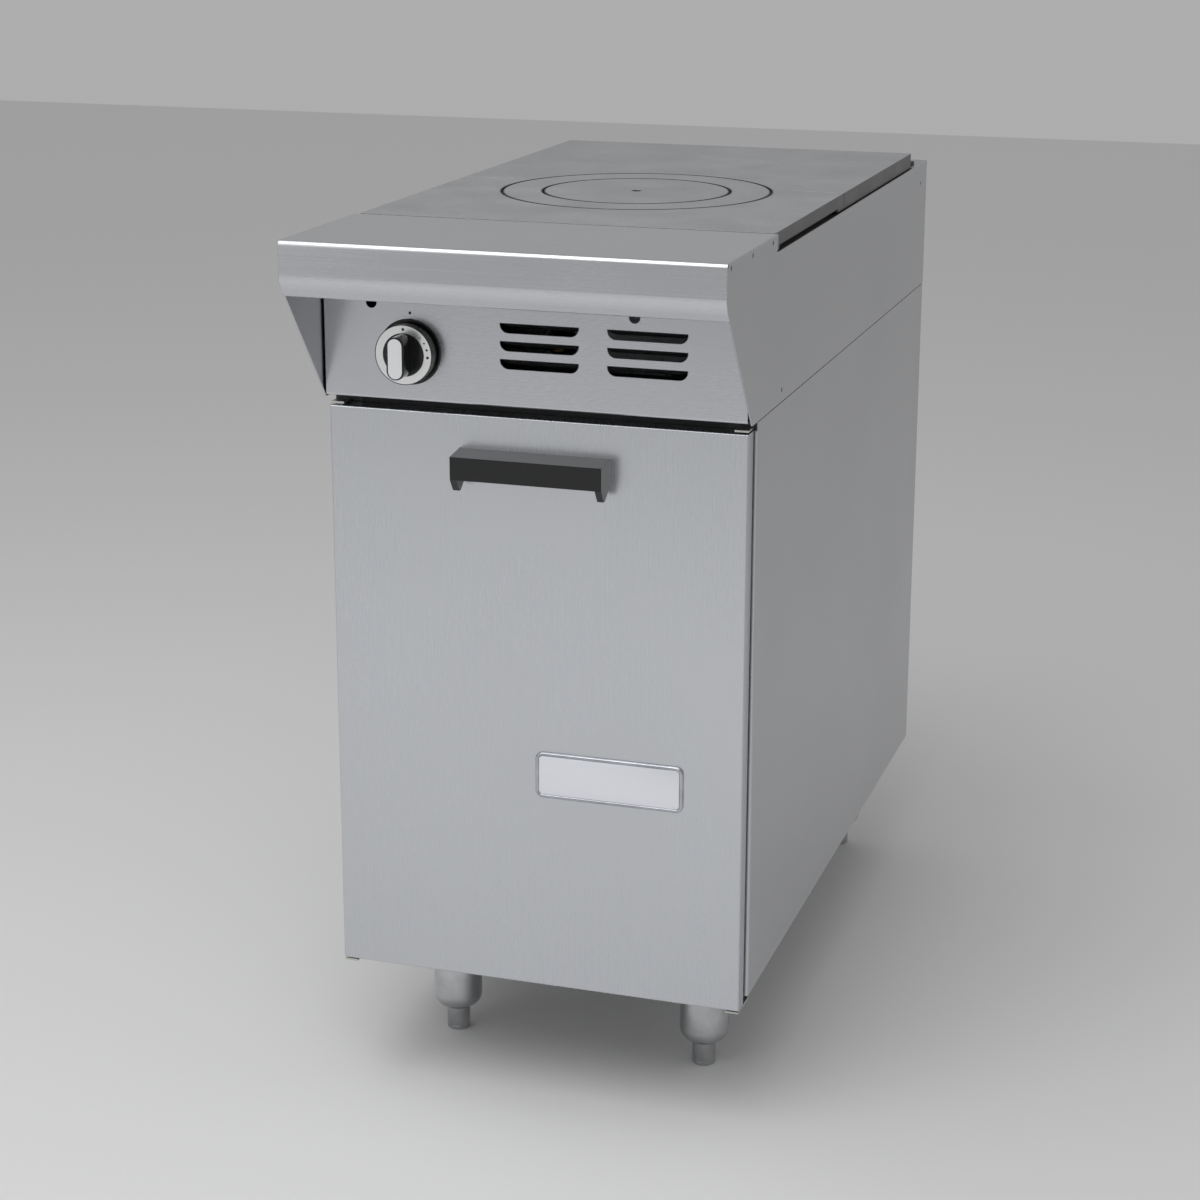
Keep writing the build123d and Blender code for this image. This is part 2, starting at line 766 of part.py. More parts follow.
# ================================================================ ring burner with its mixer tube
y_mixer = y_box - mixer_out
vent_y = (y_mixer + vent_in, y_mixer + vent_in + vent_l)
with BuildPart() as burner:
    rod(at_height(bar_top), (0, y_ring), ring_burner_r, burner_h)
    rod(at_height(bar_top), (0, y_ring), ring_burner_in, burner_h, Mode.SUBTRACT)
    rod(at_station(y_mixer), (0, z_gas), mixer_r, y_mixer - y_ring + ring_burner_r - burner_wall)
    with BuildSketch(at_height(bar_top + burner_wall)):
        with Locations((0, y_ring)):
            Circle(ring_burner_r - burner_wall)
            Circle(ring_burner_in + burner_wall, mode=Mode.SUBTRACT)
    extrude(amount=burner_h - 2 * burner_wall, mode=Mode.SUBTRACT)
    rod(
        at_station(y_mixer),
        (0, z_gas),
        mixer_r - burner_wall,
        y_mixer - y_ring + ring_burner_r - 2 * burner_wall,
        Mode.SUBTRACT,
    )
    block((-mixer_r, mixer_r), vent_y, (z_gas - vent_h / 2, z_gas + vent_h / 2), Mode.SUBTRACT)
    with Locations((0, y_ring, bar_top + burner_h)):
        for circle_r, count in zip((ring_burner_r - port_in, ring_burner_in + port_in), port_counts):
            with PolarLocations(circle_r, count):
                Hole(port_r, depth=burner_wall)
save("burner", burner)

y_shutter = y_mixer + shutter_in
with BuildPart() as air_shutter:
    rod(at_station(y_shutter), (0, z_gas), shutter_r, -shutter_l)
    rod(at_station(y_shutter), (0, z_gas), mixer_r + run_clear, -shutter_l, Mode.SUBTRACT)
    block((-shutter_r, shutter_r), vent_y, (z_gas - vent_h / 2, z_gas + vent_h / 2), Mode.SUBTRACT)
    lug_z = (z_gas + (mixer_r + shutter_r) / 2, z_gas + shutter_r + shutter_lug_h)
    block((-shutter_lug_w / 2, shutter_lug_w / 2), (y_shutter, y_shutter + shutter_lug_t), lug_z)
save("air_shutter", air_shutter)

# ================================================================ gas valve, tube and orifice
y_valve = y_panel + valve_behind
y_valve_end = y_valve + valve_l
y_manifold = y_panel + manifold_behind
leg_foot = z_manifold + inlet_seat
with BuildPart() as gas_valve:
    block(
        (knob_x - valve_w / 2, knob_x + valve_w / 2),
        (y_valve + nose_l, y_valve_end),
        (z_knob - valve_w / 2, z_knob + valve_w / 2),
    )
    fillet(edges().filter_by(Axis.Y), valve_corner_r)
    rod(at_station(y_valve), (knob_x, z_knob), nose_r, -nose_l)
    rod(at_height(leg_foot), (knob_x, y_manifold), inlet_r, z_knob - leg_foot)
    rod(at_station(y_valve), (knob_x, z_knob), spindle_r + run_clear, -valve_bore, Mode.SUBTRACT)
    chamber_r = washer_r + hull_clear
    rod(at_station(y_valve + washer_seat), (knob_x, z_knob), chamber_r, -washer_room, Mode.SUBTRACT)
save("gas_valve", gas_valve)

y_washer = y_valve + washer_seat + washer_play
with BuildPart() as thrust_washer:
    rod(at_station(y_washer), (knob_x, z_knob), washer_r, -washer_t)
    rod(at_station(y_washer), (knob_x, z_knob), spindle_r + run_clear, -washer_t, Mode.SUBTRACT)
save("thrust_washer", thrust_washer)

y_cross = y_valve_end + tube_lead
y_hood = y_mixer - hood_l
with BuildPart() as supply_tube:
    with BuildLine():
        FilletPolyline(
            (knob_x, y_valve_end, z_gas),
            (knob_x, y_cross, z_gas),
            (0, y_cross, z_gas),
            (0, y_hood, z_gas),
            radius=tube_bend_r,
        )
    with BuildSketch(at_station(y_valve_end)):
        with Locations((knob_x, z_gas)):
            Circle(tube_r)
            Circle(tube_r - tube_wall, mode=Mode.SUBTRACT)
    sweep()
save("supply_tube", supply_tube)

with BuildPart() as orifice_hood:
    with BuildSketch(at_station(y_hood)):
        with Locations((0, z_gas)):
            RegularPolygon(hood_r, 6)
    extrude(amount=-(hood_l - spud_seat))
    rod(at_station(y_hood + hood_l - spud_seat), (0, z_gas), spud_r, -spud_l)
    rod(at_station(y_hood), (0, z_gas), orifice_r, -hood_l - spud_l + spud_seat, Mode.SUBTRACT)
save("orifice_hood", orifice_hood)

# ================================================================ manifold, inlet pipe, regulator and rear connection
y_regulator = y_flue + regulator_set
with BuildPart() as manifold_pipe:
    start = knob_x - manifold_over
    rod(at_side(start), (y_manifold, z_manifold), pipe_r, manifold_end_x - start)
    bore_start = start + pipe_plug
    rod(at_side(bore_start), (y_manifold, z_manifold), pipe_bore, manifold_end_x - bore_start, Mode.SUBTRACT)
    rod(at_height(leg_foot), (knob_x, y_manifold), inlet_r, pipe_r, Mode.SUBTRACT)
    rod(at_station(y_manifold + inlet_seat), (pilot_start_x, z_manifold), pilot_r, -pipe_r, Mode.SUBTRACT)
save("manifold_pipe", manifold_pipe)

with BuildPart() as inlet_pipe:
    with BuildLine():
        FilletPolyline(
            (manifold_end_x, y_manifold, z_manifold),
            (pipe_x, y_manifold, z_manifold),
            (pipe_x, y_regulator - regulator_port, z_manifold),
            radius=pipe_bend_r,
        )
    with BuildSketch(at_side(manifold_end_x)):
        with Locations((y_manifold, z_manifold)):
            Circle(pipe_r)
            Circle(pipe_bore, mode=Mode.SUBTRACT)
    sweep()
save("inlet_pipe", inlet_pipe)

with BuildPart() as pressure_regulator:
    foot = z_manifold - port_boss_r
    rod(at_height(foot), (pipe_x, y_regulator), regulator_r, regulator_h)
    fillet(edges().filter_by(GeomType.CIRCLE), regulator_edge_r)
    rod(at_height(foot + regulator_h), (pipe_x, y_regulator), regulator_cap_r, regulator_cap_h)
    y_port = y_regulator - regulator_port
    rod(at_station(y_port), (pipe_x, z_manifold), port_boss_r, -2 * regulator_port)
    rod(at_station(y_port), (pipe_x, z_manifold), pipe_bore, -2 * regulator_port, Mode.SUBTRACT)
save("pressure_regulator", pressure_regulator)

with BuildPart() as gas_stub:
    start = y_regulator + regulator_port
    rod(at_station(start), (pipe_x, z_manifold), pipe_r + stub_step, start - y_rear)
    rod(at_station(y_rear), (pipe_x, z_manifold), pipe_r, -stub_out)
    rod(at_station(start), (pipe_x, z_manifold), pipe_bore, start - y_rear - stub_out, Mode.SUBTRACT)
save("gas_stub", gas_stub)

# ================================================================ pilot and thermocouple
y_pilot = y_ring - pilot_set
z_lead = cook_h - lead_drop
with BuildPart() as pilot_burner:
    rod(at_height(bar_top), (pilot_x, y_pilot), pilot_body_r, pilot_body_h)
    chamfer(faces().sort_by(Axis.Z)[-1].edges(), pilot_edge)
    block(
        (pilot_x - pilot_foot, couple_x + couple_foot),
        (y_ring - bar_set + bar_w / 2, y_pilot + pilot_foot),
        (bar_top - bar_h, bar_top),
    )
    rod(at_height(bar_top - bar_h), (couple_x, y_pilot), couple_r, bar_h, Mode.SUBTRACT)
save("pilot_burner", pilot_burner)

with BuildPart() as pilot_tube:
    y_turn = y_box - pilot_turn
    with BuildLine():
        FilletPolyline(
            (pilot_start_x, y_manifold + inlet_seat, z_manifold),
            (pilot_start_x, y_turn, z_manifold),
            (pilot_x, y_turn, z_manifold),
            (pilot_x, y_pilot, z_manifold),
            (pilot_x, y_pilot, bar_top - bar_h),
            radius=lead_bend_r,
        )
    with BuildSketch(at_station(y_manifold + inlet_seat)):
        with Locations((pilot_start_x, z_manifold)):
            Circle(pilot_r)
    sweep()
save("pilot_tube", pilot_tube)

with BuildPart() as thermocouple:
    z_tip = bar_top - bar_h - couple_under
    y_lead = y_box - lead_turn
    x_lead = knob_x + lead_port_x
    z_port = z_knob - lead_port_drop
    rod(at_height(z_tip), (couple_x, y_pilot), couple_r, couple_h)
    with BuildLine():
        FilletPolyline(
            (couple_x, y_pilot, z_tip),
            (couple_x, y_pilot, z_lead),
            (couple_x, y_lead, z_lead),
            (x_lead, y_lead, z_lead),
            (x_lead, y_lead, z_port),
            (x_lead, y_valve_end, z_port),
            radius=lead_bend_r,
        )
    with BuildSketch(at_height(z_tip)):
        with Locations((couple_x, y_pilot)):
            Circle(lead_r)
    sweep()
save("thermocouple", thermocouple)

# ================================================================ knob: bezel, body, dial, insert and spindle
knob_at = (knob_x, z_knob)
with BuildPart() as knob_bezel:
    rod(at_station(y_panel), knob_at, bezel_r, bezel_t)
    chamfer(faces().sort_by(Axis.Y)[0].edges(), bezel_edge)
    rod(at_station(y_panel), knob_at, spindle_hole_r, bezel_t, Mode.SUBTRACT)
save("knob_bezel", knob_bezel)

y_skirt = y_panel - bezel_t - knob_travel - bezel_gap
y_dial = y_skirt - knob_skirt_d
y_grip = y_dial - grip_out
with BuildPart() as knob_body:
    rod(at_station(y_skirt), knob_at, knob_r, knob_skirt_d)
    rod(at_station(y_dial + dial_t), knob_at, knob_r - dial_rim, dial_t, Mode.SUBTRACT)
    rod(at_station(y_dial + dial_t), knob_at, dial_in_r, dial_t)
    with BuildSketch(at_station(y_dial)):
        with Locations(knob_at):
            SlotOverall(grip_h, grip_w, rotation=90)
    extrude(amount=grip_out)
    fillet(faces().sort_by(Axis.Y)[0].edges(), grip_edge_r)
    with BuildSketch(at_station(y_grip + insert_t)):
        with Locations(knob_at):
            SlotOverall(insert_h, insert_w, rotation=90)
    extrude(amount=insert_t, mode=Mode.SUBTRACT)
    with BuildSketch(at_station(y_skirt)):
        with Locations(knob_at):
            Circle(knob_r - knob_wall)
            Circle(hub_r, mode=Mode.SUBTRACT)
    extrude(amount=knob_hollow, mode=Mode.SUBTRACT)
    rod(at_station(y_skirt), knob_at, spindle_r, hub_grip, Mode.SUBTRACT)
save("knob_body", knob_body)

with BuildPart() as knob_dial:
    with BuildSketch(at_station(y_dial + dial_t)):
        with Locations(knob_at):
            Circle(knob_r - dial_rim)
            Circle(dial_in_r, mode=Mode.SUBTRACT)
    extrude(amount=dial_t)
save("knob_dial", knob_dial)

with BuildPart() as knob_insert:
    with BuildSketch(at_station(y_grip + insert_t)):
        with Locations(knob_at):
            SlotOverall(insert_h, insert_w, rotation=90)
    extrude(amount=insert_t)
save("knob_insert", knob_insert)

with BuildPart() as valve_spindle:
    tip = y_skirt - hub_grip
    rod(at_station(tip), knob_at, spindle_r, tip - (y_valve + valve_bore - knob_travel - spindle_end))
save("valve_spindle", valve_spindle)

# ================================================================ door
door_half = half_w - door_side
bush_r = pin_r + bush_wall
pivot = (-door_half + liner_t + bush_side + bush_r, y_door_back - liner_t - bush_back - bush_r)
z_handle = cook_h - handle_drop
handle_screw_at = [(s * (handle_l - handle_cheek) / 2, z_handle - handle_h / 2) for s in (-1, 1)]
with BuildPart() as door_skin:
    block((-door_half, door_half), (y_door, y_door_back - liner_t), (z_door, z_door_top))
    fillet(faces().sort_by(Axis.Y)[0].edges(), door_edge_r)
    block(
        (-door_half + liner_t, door_half - liner_t),
        (y_door + liner_t, y_door_back - liner_t),
        (z_door + liner_t, z_door_top - liner_t),
        Mode.SUBTRACT,
    )
    rod(at_height(z_door), pivot, pin_r + run_clear, z_door_top - z_door, Mode.SUBTRACT)
    for at in handle_screw_at:
        rod(at_station(y_door), at, screw_r + screw_clear, -liner_t, Mode.SUBTRACT)
save("door_skin", door_skin)

with BuildPart() as door_liner:
    block((-door_half, door_half), (y_door_back - liner_t, y_door_back), (z_door, z_door_top))
save("door_liner", door_liner)

with BuildPart() as pivot_bushes:
    for z, grow in ((z_door + liner_t, bush_l), (z_door_top - liner_t, -bush_l)):
        rod(at_height(z), pivot, bush_r, grow)
        rod(at_height(z), pivot, pin_r + run_clear, grow, Mode.SUBTRACT)
save("pivot_bushes", pivot_bushes)

z_catch = (z_ceiling - catch_h, z_ceiling)
with BuildPart() as door_strike:
    block((catch_x, catch_x + catch_w), (y_door_back, y_door_back + strike_t), z_catch)
save("door_strike", door_strike)

with BuildPart() as door_handle:
    out = y_door - handle_out
    low = z_handle - handle_h
    top_line = [(out, z_handle), (y_door, z_handle + handle_rise)]
    with BuildSketch(at_side(-handle_l / 2)):
        with BuildLine():
            Polyline(
                *top_line,
                (y_door, z_handle + handle_rise - handle_wall),
                (out + handle_wall, z_handle - handle_wall),
                (out + handle_wall, low),
                (out, low),
                (out, z_handle),
            )
        make_face()
    extrude(amount=handle_l)
    for s in (-1, 1):
        with BuildSketch(at_side(s * handle_l / 2)):
            with BuildLine():
                Polyline(
                    *top_line,
                    (y_door, low),
                    (out + handle_tip, low - handle_tip),
                    (out + handle_tip - handle_nib, low - handle_tip),
                    (out, low),
                    (out, z_handle),
                )
            make_face()
        extrude(amount=-s * handle_cheek)
    for at in handle_screw_at:
        rod(at_station(y_door), at, screw_r, handle_screw_l, Mode.SUBTRACT)
save("door_handle", door_handle)

with BuildPart() as handle_screws:
    for at in handle_screw_at:
        rod(at_station(y_door + liner_t), at, screw_head_r, -screw_head_t)
        rod(at_station(y_door + liner_t), at, screw_r, liner_t + handle_screw_l)
save("handle_screws", handle_screws)

with BuildPart() as nameplate:
    with BuildSketch(at_station(y_door)):
        with Locations((plate_x, cook_h - plate_drop)):
            RectangleRounded(plate_w, plate_h, plate_r)
    extrude(amount=plate_t)
    chamfer(faces().sort_by(Axis.Y)[0].edges(), plate_edge)
save("nameplate", nameplate)

# ================================================================ hinge plates and pins, and the magnet catch
upper_plate = (z_door_top + hinge_gap, z_door_top + hinge_gap + hinge_t)
lower_plate = (z_door - hinge_gap - hinge_t, z_door - hinge_gap)
with BuildPart() as hinge_plates:
    for s in (-1, 1):
        xs = (s * (door_half - hinge_side), s * (door_half - hinge_side - hinge_w))
        y_tail = y_face + hinge_tail
        block(xs, (y_door + hinge_in, y_face), upper_plate)
        block(xs, (y_door + hinge_in, y_tail), lower_plate)
        block(xs, (y_tail - hinge_t, y_tail), (lower_plate[1], leg_h))
    for zs in (upper_plate, lower_plate):
        rod(at_height(zs[0]), pivot, pin_r, hinge_t, Mode.SUBTRACT)
save("hinge_plates", hinge_plates)

with BuildPart() as hinge_pins:
    rod(at_height(upper_plate[1]), pivot, pin_r, -pin_l)
    rod(at_height(lower_plate[0]), pivot, pin_r, pin_l)
save("hinge_pins", hinge_pins)

with BuildPart() as door_catch:
    block((catch_x, catch_x + catch_w), (y_door_back + strike_t + hull_clear, y_face + catch_d), z_catch)
save("door_catch", door_catch)

# ================================================================ screws of the casing
with BuildPart() as side_screws:
    for s in (-1, 1):
        for y, z in side_screw_yz:
            rod(at_side(s * (inner_x - side_screw_l)), (y, z), side_screw_r, s * (side_screw_l + side_t))
save("side_screws", side_screws)

with BuildPart() as back_screws:
    for at in back_screw_xz:
        rod(at_station(y_rear), at, screw_head_r, -screw_head_t)
        rod(at_station(y_rear), at, screw_r, back_screw_l)
save("back_screws", back_screws)

# ================================================================ legs and adjustable feet
leg_at = [(s * leg_x, y) for y in leg_stations for s in (-1, 1)]
with BuildPart() as leg_barrels:
    for x, y in leg_at:
        with BuildSketch(Plane(origin=(x, y, 0), x_dir=(1, 0, 0), z_dir=(0, -1, 0))):
            with BuildLine():
                Polyline((0, leg_h + stud_l), (stud_r, leg_h + stud_l), (stud_r, leg_h), (leg_r, leg_h))
                Line((leg_r, leg_h), (leg_r, leg_shoulder_z))
                Spline(
                    (leg_r, leg_shoulder_z),
                    (leg_mouth_r, leg_mouth_z),
                    tangents=[(0, -1), leg_mouth_run],
                )
                Polyline((leg_mouth_r, leg_mouth_z), (0, leg_mouth_z), (0, leg_h + stud_l))
            make_face()
        revolve(axis=Axis((x, y, 0), (0, 0, 1)))
        bore_l = foot_stem_top + foot_stem_play - leg_mouth_z
        rod(at_height(leg_mouth_z), (x, y), foot_stem_r + run_clear, bore_l, Mode.SUBTRACT)
save("leg_barrels", leg_barrels)

with BuildPart() as leg_nuts:
    for at in leg_at:
        with BuildSketch(at_height(leg_h + frame_t)):
            with Locations(at):
                RegularPolygon(nut_r, 6)
                Circle(stud_r, mode=Mode.SUBTRACT)
        extrude(amount=nut_h)
save("leg_nuts", leg_nuts)

for name, at in zip(("foot_front_left", "foot_front_right", "foot_rear_left", "foot_rear_right"), leg_at):
    with BuildPart() as foot:
        neck_h = leg_mouth_z - hull_clear
        rod(at_height(0), at, foot_r, neck_h)
        for s in (-1, 1):
            block(
                (at[0] - foot_r, at[0] + foot_r),
                (at[1] + s * foot_flat, at[1] + s * foot_r),
                foot_flat_z,
                Mode.SUBTRACT,
            )
        chamfer(faces().sort_by(Axis.Z)[0].edges(), foot_edge)
        rod(at_height(neck_h), at, foot_stem_r, foot_stem_top - neck_h)
    save(name, foot)
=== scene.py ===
# %% [markdown]
# # A hot plate range section
# This lesson dresses a finished CAD model of a one-burner hot plate range in real finishes.
# The CAD nodes arrive as fixed frame pieces, already in place, so the work here is materials,
# small visible hardware and the studio. Where a CAD shape is too plain, a mesh piece made here
# stands for it and rides on the same moving body.
#
# All lengths are metres. X is to the user's right, Y goes back, Z is up.

# %% Load the frame
import json
from math import cos, pi, radians, sin

import bmesh
import bpy
from mathutils import Matrix, Vector


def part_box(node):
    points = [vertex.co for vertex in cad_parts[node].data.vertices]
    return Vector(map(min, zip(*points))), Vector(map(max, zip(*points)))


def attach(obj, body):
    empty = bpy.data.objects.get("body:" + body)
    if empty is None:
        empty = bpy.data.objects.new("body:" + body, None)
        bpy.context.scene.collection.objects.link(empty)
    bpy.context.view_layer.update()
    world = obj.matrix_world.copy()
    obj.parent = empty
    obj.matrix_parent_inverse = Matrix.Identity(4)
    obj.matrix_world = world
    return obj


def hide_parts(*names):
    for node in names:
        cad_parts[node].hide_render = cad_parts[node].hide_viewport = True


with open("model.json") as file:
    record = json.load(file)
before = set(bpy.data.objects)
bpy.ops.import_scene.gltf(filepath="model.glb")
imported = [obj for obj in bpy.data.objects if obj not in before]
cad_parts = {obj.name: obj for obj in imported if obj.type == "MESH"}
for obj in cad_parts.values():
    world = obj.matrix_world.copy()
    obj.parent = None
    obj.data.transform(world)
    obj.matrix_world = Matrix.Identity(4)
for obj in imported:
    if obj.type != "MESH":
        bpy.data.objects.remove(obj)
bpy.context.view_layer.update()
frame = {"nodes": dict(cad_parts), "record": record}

NODES = frame["nodes"]
MM = 0.001

# %% [markdown]
# ## The camera
# A product picture is taken from standing height, a little to the right, with a long lens so
# that upright edges stay nearly parallel. Aiming by three angles keeps the horizon honest:
# yaw turns the camera about Z, pitch tips it down, and roll is almost nothing.

# %% Camera
YAW, PITCH, ROLL = radians(17.7), radians(-15.496), radians(0.12)
STANDING_AT = (0.8377, -2.8029, 1.3365)
SENSOR_MM, LENS_MM = 36.0, 77.09
FRAME_SHIFT = -0.0458
forward = Vector((-sin(YAW) * cos(PITCH), cos(YAW) * cos(PITCH), sin(PITCH)))
level = Vector((cos(YAW), sin(YAW), 0.0))
upright = level.cross(forward)
right = level * cos(ROLL) + upright * sin(ROLL)
above = right.cross(forward)

camera_data = bpy.data.cameras.new("camera")
camera_data.sensor_width = SENSOR_MM
camera_data.lens = LENS_MM
camera_data.shift_y = FRAME_SHIFT
camera = bpy.data.objects.new("camera", camera_data)
bpy.context.collection.objects.link(camera)
axes = Matrix((right, above, -forward)).transposed().to_4x4()
camera.matrix_world = Matrix.Translation(STANDING_AT) @ axes
bpy.context.scene.camera = camera
print("camera", [round(v, 3) for v in camera.location])

# %% [markdown]
# ## Node helpers
# Every finish below is a node tree, and they share a few moves: read Object coordinates,
# stretch them, feed a noise, and spread the noise over a range. Small functions for those moves
# keep each finish short enough to read in one go.

# %% Material helpers
def start_finish(name, metallic=0.0, roughness=0.5):
    """A material with its tree, links and shader ready to use."""
    material = bpy.data.materials.new(name)
    material.use_nodes = True
    tree = material.node_tree
    shader = tree.nodes["Principled BSDF"]
    shader.inputs["Metallic"].default_value = metallic
    shader.inputs["Roughness"].default_value = roughness
    return material, tree, shader


def add(tree, kind, **settings):
    """A node of one kind with its properties set."""
    node = tree.nodes.new(kind)
    for key, value in settings.items():
        setattr(node, key, value)
    return node


def stretched(tree, scale, turn=(0.0, 0.0, 0.0)):
    """Object coordinates, scaled differently along each axis."""
    place = add(tree, "ShaderNodeTexCoord")
    mapping = add(tree, "ShaderNodeMapping")
    mapping.inputs["Scale"].default_value = scale
    mapping.inputs["Rotation"].default_value = turn
    tree.links.new(place.outputs["Object"], mapping.inputs["Vector"])
    return mapping.outputs["Vector"]


def noise(tree, where, scale=1.0, detail=4.0, rough=0.55):
    """Noise from coordinates."""
    node = add(tree, "ShaderNodeTexNoise")
    node.inputs["Scale"].default_value = scale
    node.inputs["Detail"].default_value = detail
    node.inputs["Roughness"].default_value = rough
    tree.links.new(where, node.inputs["Vector"])
    return node.outputs["Fac"]


def spread(tree, source, low, high, source_low=0.3, source_high=0.7):
    """Carry a value from its own range to another one."""
    node = add(tree, "ShaderNodeMapRange")
    node.inputs["From Min"].default_value = source_low
    node.inputs["From Max"].default_value = source_high
    node.inputs["To Min"].default_value = low
    node.inputs["To Max"].default_value = high
    tree.links.new(source, node.inputs["Value"])
    return node.outputs["Result"]


def tint(tree, source, dark, light, at=(0.3, 0.7)):
    """Two colours blended by a value."""
    node = add(tree, "ShaderNodeValToRGB")
    ramp = node.color_ramp
    ramp.elements[0].position = at[0]
    ramp.elements[0].color = (*dark, 1.0)
    ramp.elements[1].position = at[1]
    ramp.elements[1].color = (*light, 1.0)
    tree.links.new(source, node.inputs["Fac"])
    return node.outputs["Color"]


def combine(tree, first, second, how="MULTIPLY"):
    """Two values joined by one sum or product."""
    node = add(tree, "ShaderNodeMath", operation=how)
    tree.links.new(first, node.inputs[0])
    tree.links.new(second, node.inputs[1])
    return node.outputs["Value"]


def mix_colours(tree, share, first, second):
    """Colour first where share is 0, colour second where it is 1."""
    node = add(tree, "ShaderNodeMix", data_type="RGBA")
    tree.links.new(share, node.inputs[0])
    tree.links.new(first, node.inputs[6])
    tree.links.new(second, node.inputs[7])
    return node.outputs[2]


def soft_edges(tree, radius):
    """Normals rounded over sharp edges, as a folded or cast edge really is."""
    node = add(tree, "ShaderNodeBevel", samples=4)
    node.inputs["Radius"].default_value = radius
    return node.outputs["Normal"]


def bumped(tree, height, depth, strength, normal=None):
    """A bump from a height value, on top of a normal if one is given."""
    node = add(tree, "ShaderNodeBump")
    node.inputs["Distance"].default_value = depth
    node.inputs["Strength"].default_value = strength
    tree.links.new(height, node.inputs["Height"])
    if normal is not None:
        tree.links.new(normal, node.inputs["Normal"])
    return node.outputs["Normal"]


def feed(tree, source, socket):
    tree.links.new(source, socket)


print("material helpers ready")

# %% [markdown]
# ## Brushed stainless steel
# A brushed sheet is rubbed one way with an abrasive belt, so its scratches are long along the
# grain and hair thin across it. A noise stretched hard along one axis gives just that. The same
# noise drives a shallow bump, a slight change of colour and the roughness, because a deeper
# scratch scatters more light. A second, cloudy noise stands for handling marks: skin oil makes
# soft patches that are a little smoother or duller. Edges catch the light on a folded sheet, so
# the normal is rounded over them.

# %% Brushed steel
ALONG, ACROSS = 3.0, 900.0
SCRATCH_SHADE = 0.01
SCRATCH_GLOSS = 0.02
SCRATCH_DEPTH = 0.01 * MM
SCRATCH_BUMP = 0.02
HANDLED_GLOSS = (-0.025, 0.035)
# Near-black painted shade for the stile fronts above the door, where the gap over the door is in shadow.
STILE_SHADE_BLACK = (0.012, 0.012, 0.013)
GRAIN = {
    "X": (ALONG, ACROSS, ACROSS),
    "Y": (ACROSS, ALONG, ACROSS),
    "Z": (ACROSS, ACROSS, ALONG),
}


def brushed_steel(name, colour, grain="X", roughness=0.36, edge=0.8 * MM):
    material, tree, shader = start_finish(name, metallic=1.0)
    scratches = noise(tree, stretched(tree, GRAIN[grain]), 1.0, 3.0, 0.6)
    clouds = noise(tree, stretched(tree, (4.0, 4.0, 4.0)), 1.0, 3.0, 0.5)
    dark = tuple(c * (1.0 - SCRATCH_SHADE) for c in colour)
    light = tuple(min(1.0, c * (1.0 + SCRATCH_SHADE)) for c in colour)
    feed(tree, tint(tree, scratches, dark, light), shader.inputs["Base Color"])
    fine = spread(tree, scratches, roughness - SCRATCH_GLOSS, roughness + SCRATCH_GLOSS)
    handled = spread(tree, clouds, *HANDLED_GLOSS)
    feed(tree, combine(tree, fine, handled, "ADD"), shader.inputs["Roughness"])
    rounded = soft_edges(tree, edge)
    feed(tree, bumped(tree, scratches, SCRATCH_DEPTH, SCRATCH_BUMP, rounded), shader.inputs["Normal"])
    return material


def stiles_with_painted_shade(material, node):
    """Painted shade: above the door the front faces of the folded stiles are coloured black."""
    tree = material.node_tree
    shader = tree.nodes["Principled BSDF"]
    sheet = shader.inputs["Base Color"].links[0].from_socket
    place = add(tree, "ShaderNodeTexCoord")
    split = add(tree, "ShaderNodeSeparateXYZ")
    feed(tree, place.outputs["Object"], split.inputs["Vector"])
    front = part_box(node)[0][1]
    door_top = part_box("door_skin")[1][2]
    # The mask covers the stile front faces above the door top, where the painted shade goes.
    ahead = spread(tree, split.outputs["Y"], 1.0, 0.0, front + 0.2 * MM, front + 0.6 * MM)
    above = spread(tree, split.outputs["Z"], 0.0, 1.0, door_top - 2.0 * MM, door_top)
    share = combine(tree, ahead, above)
    black = add(tree, "ShaderNodeRGB")
    black.outputs[0].default_value = (*STILE_SHADE_BLACK, 1.0)
    feed(tree, mix_colours(tree, share, sheet, black.outputs[0]), shader.inputs["Base Color"])
    feed(tree, spread(tree, share, 1.0, 0.0, 0.0, 1.0), shader.inputs["Metallic"])


DOOR_STEEL = brushed_steel("door_brushed_steel", (0.60, 0.615, 0.645), "Z", 0.27)
PANEL_STEEL = brushed_steel("panel_brushed_steel", (0.60, 0.61, 0.64), "X", 0.27)
RAIL_STEEL = brushed_steel("rail_brushed_steel", (0.60, 0.61, 0.635), "X", 0.27)
SIDE_STEEL = brushed_steel("side_brushed_steel", (0.56, 0.565, 0.58), "Z", 0.32)
CABINET_STEEL = brushed_steel("cabinet_brushed_steel", (0.56, 0.565, 0.58), "Z", 0.32)
# The cabinet steel gets painted shade: black stile fronts above the door.
stiles_with_painted_shade(CABINET_STEEL, "lower_side_left")
print("five sheets of brushed steel")

# %% [markdown]
# ## Galvanised sheet
# The hidden sheets are dipped in zinc, which freezes in flat crystals called spangle. A Voronoi
# texture gives cells with straight borders. Each cell has its own random colour, and reading one
# channel of it gives every crystal its own shade and its own roughness.

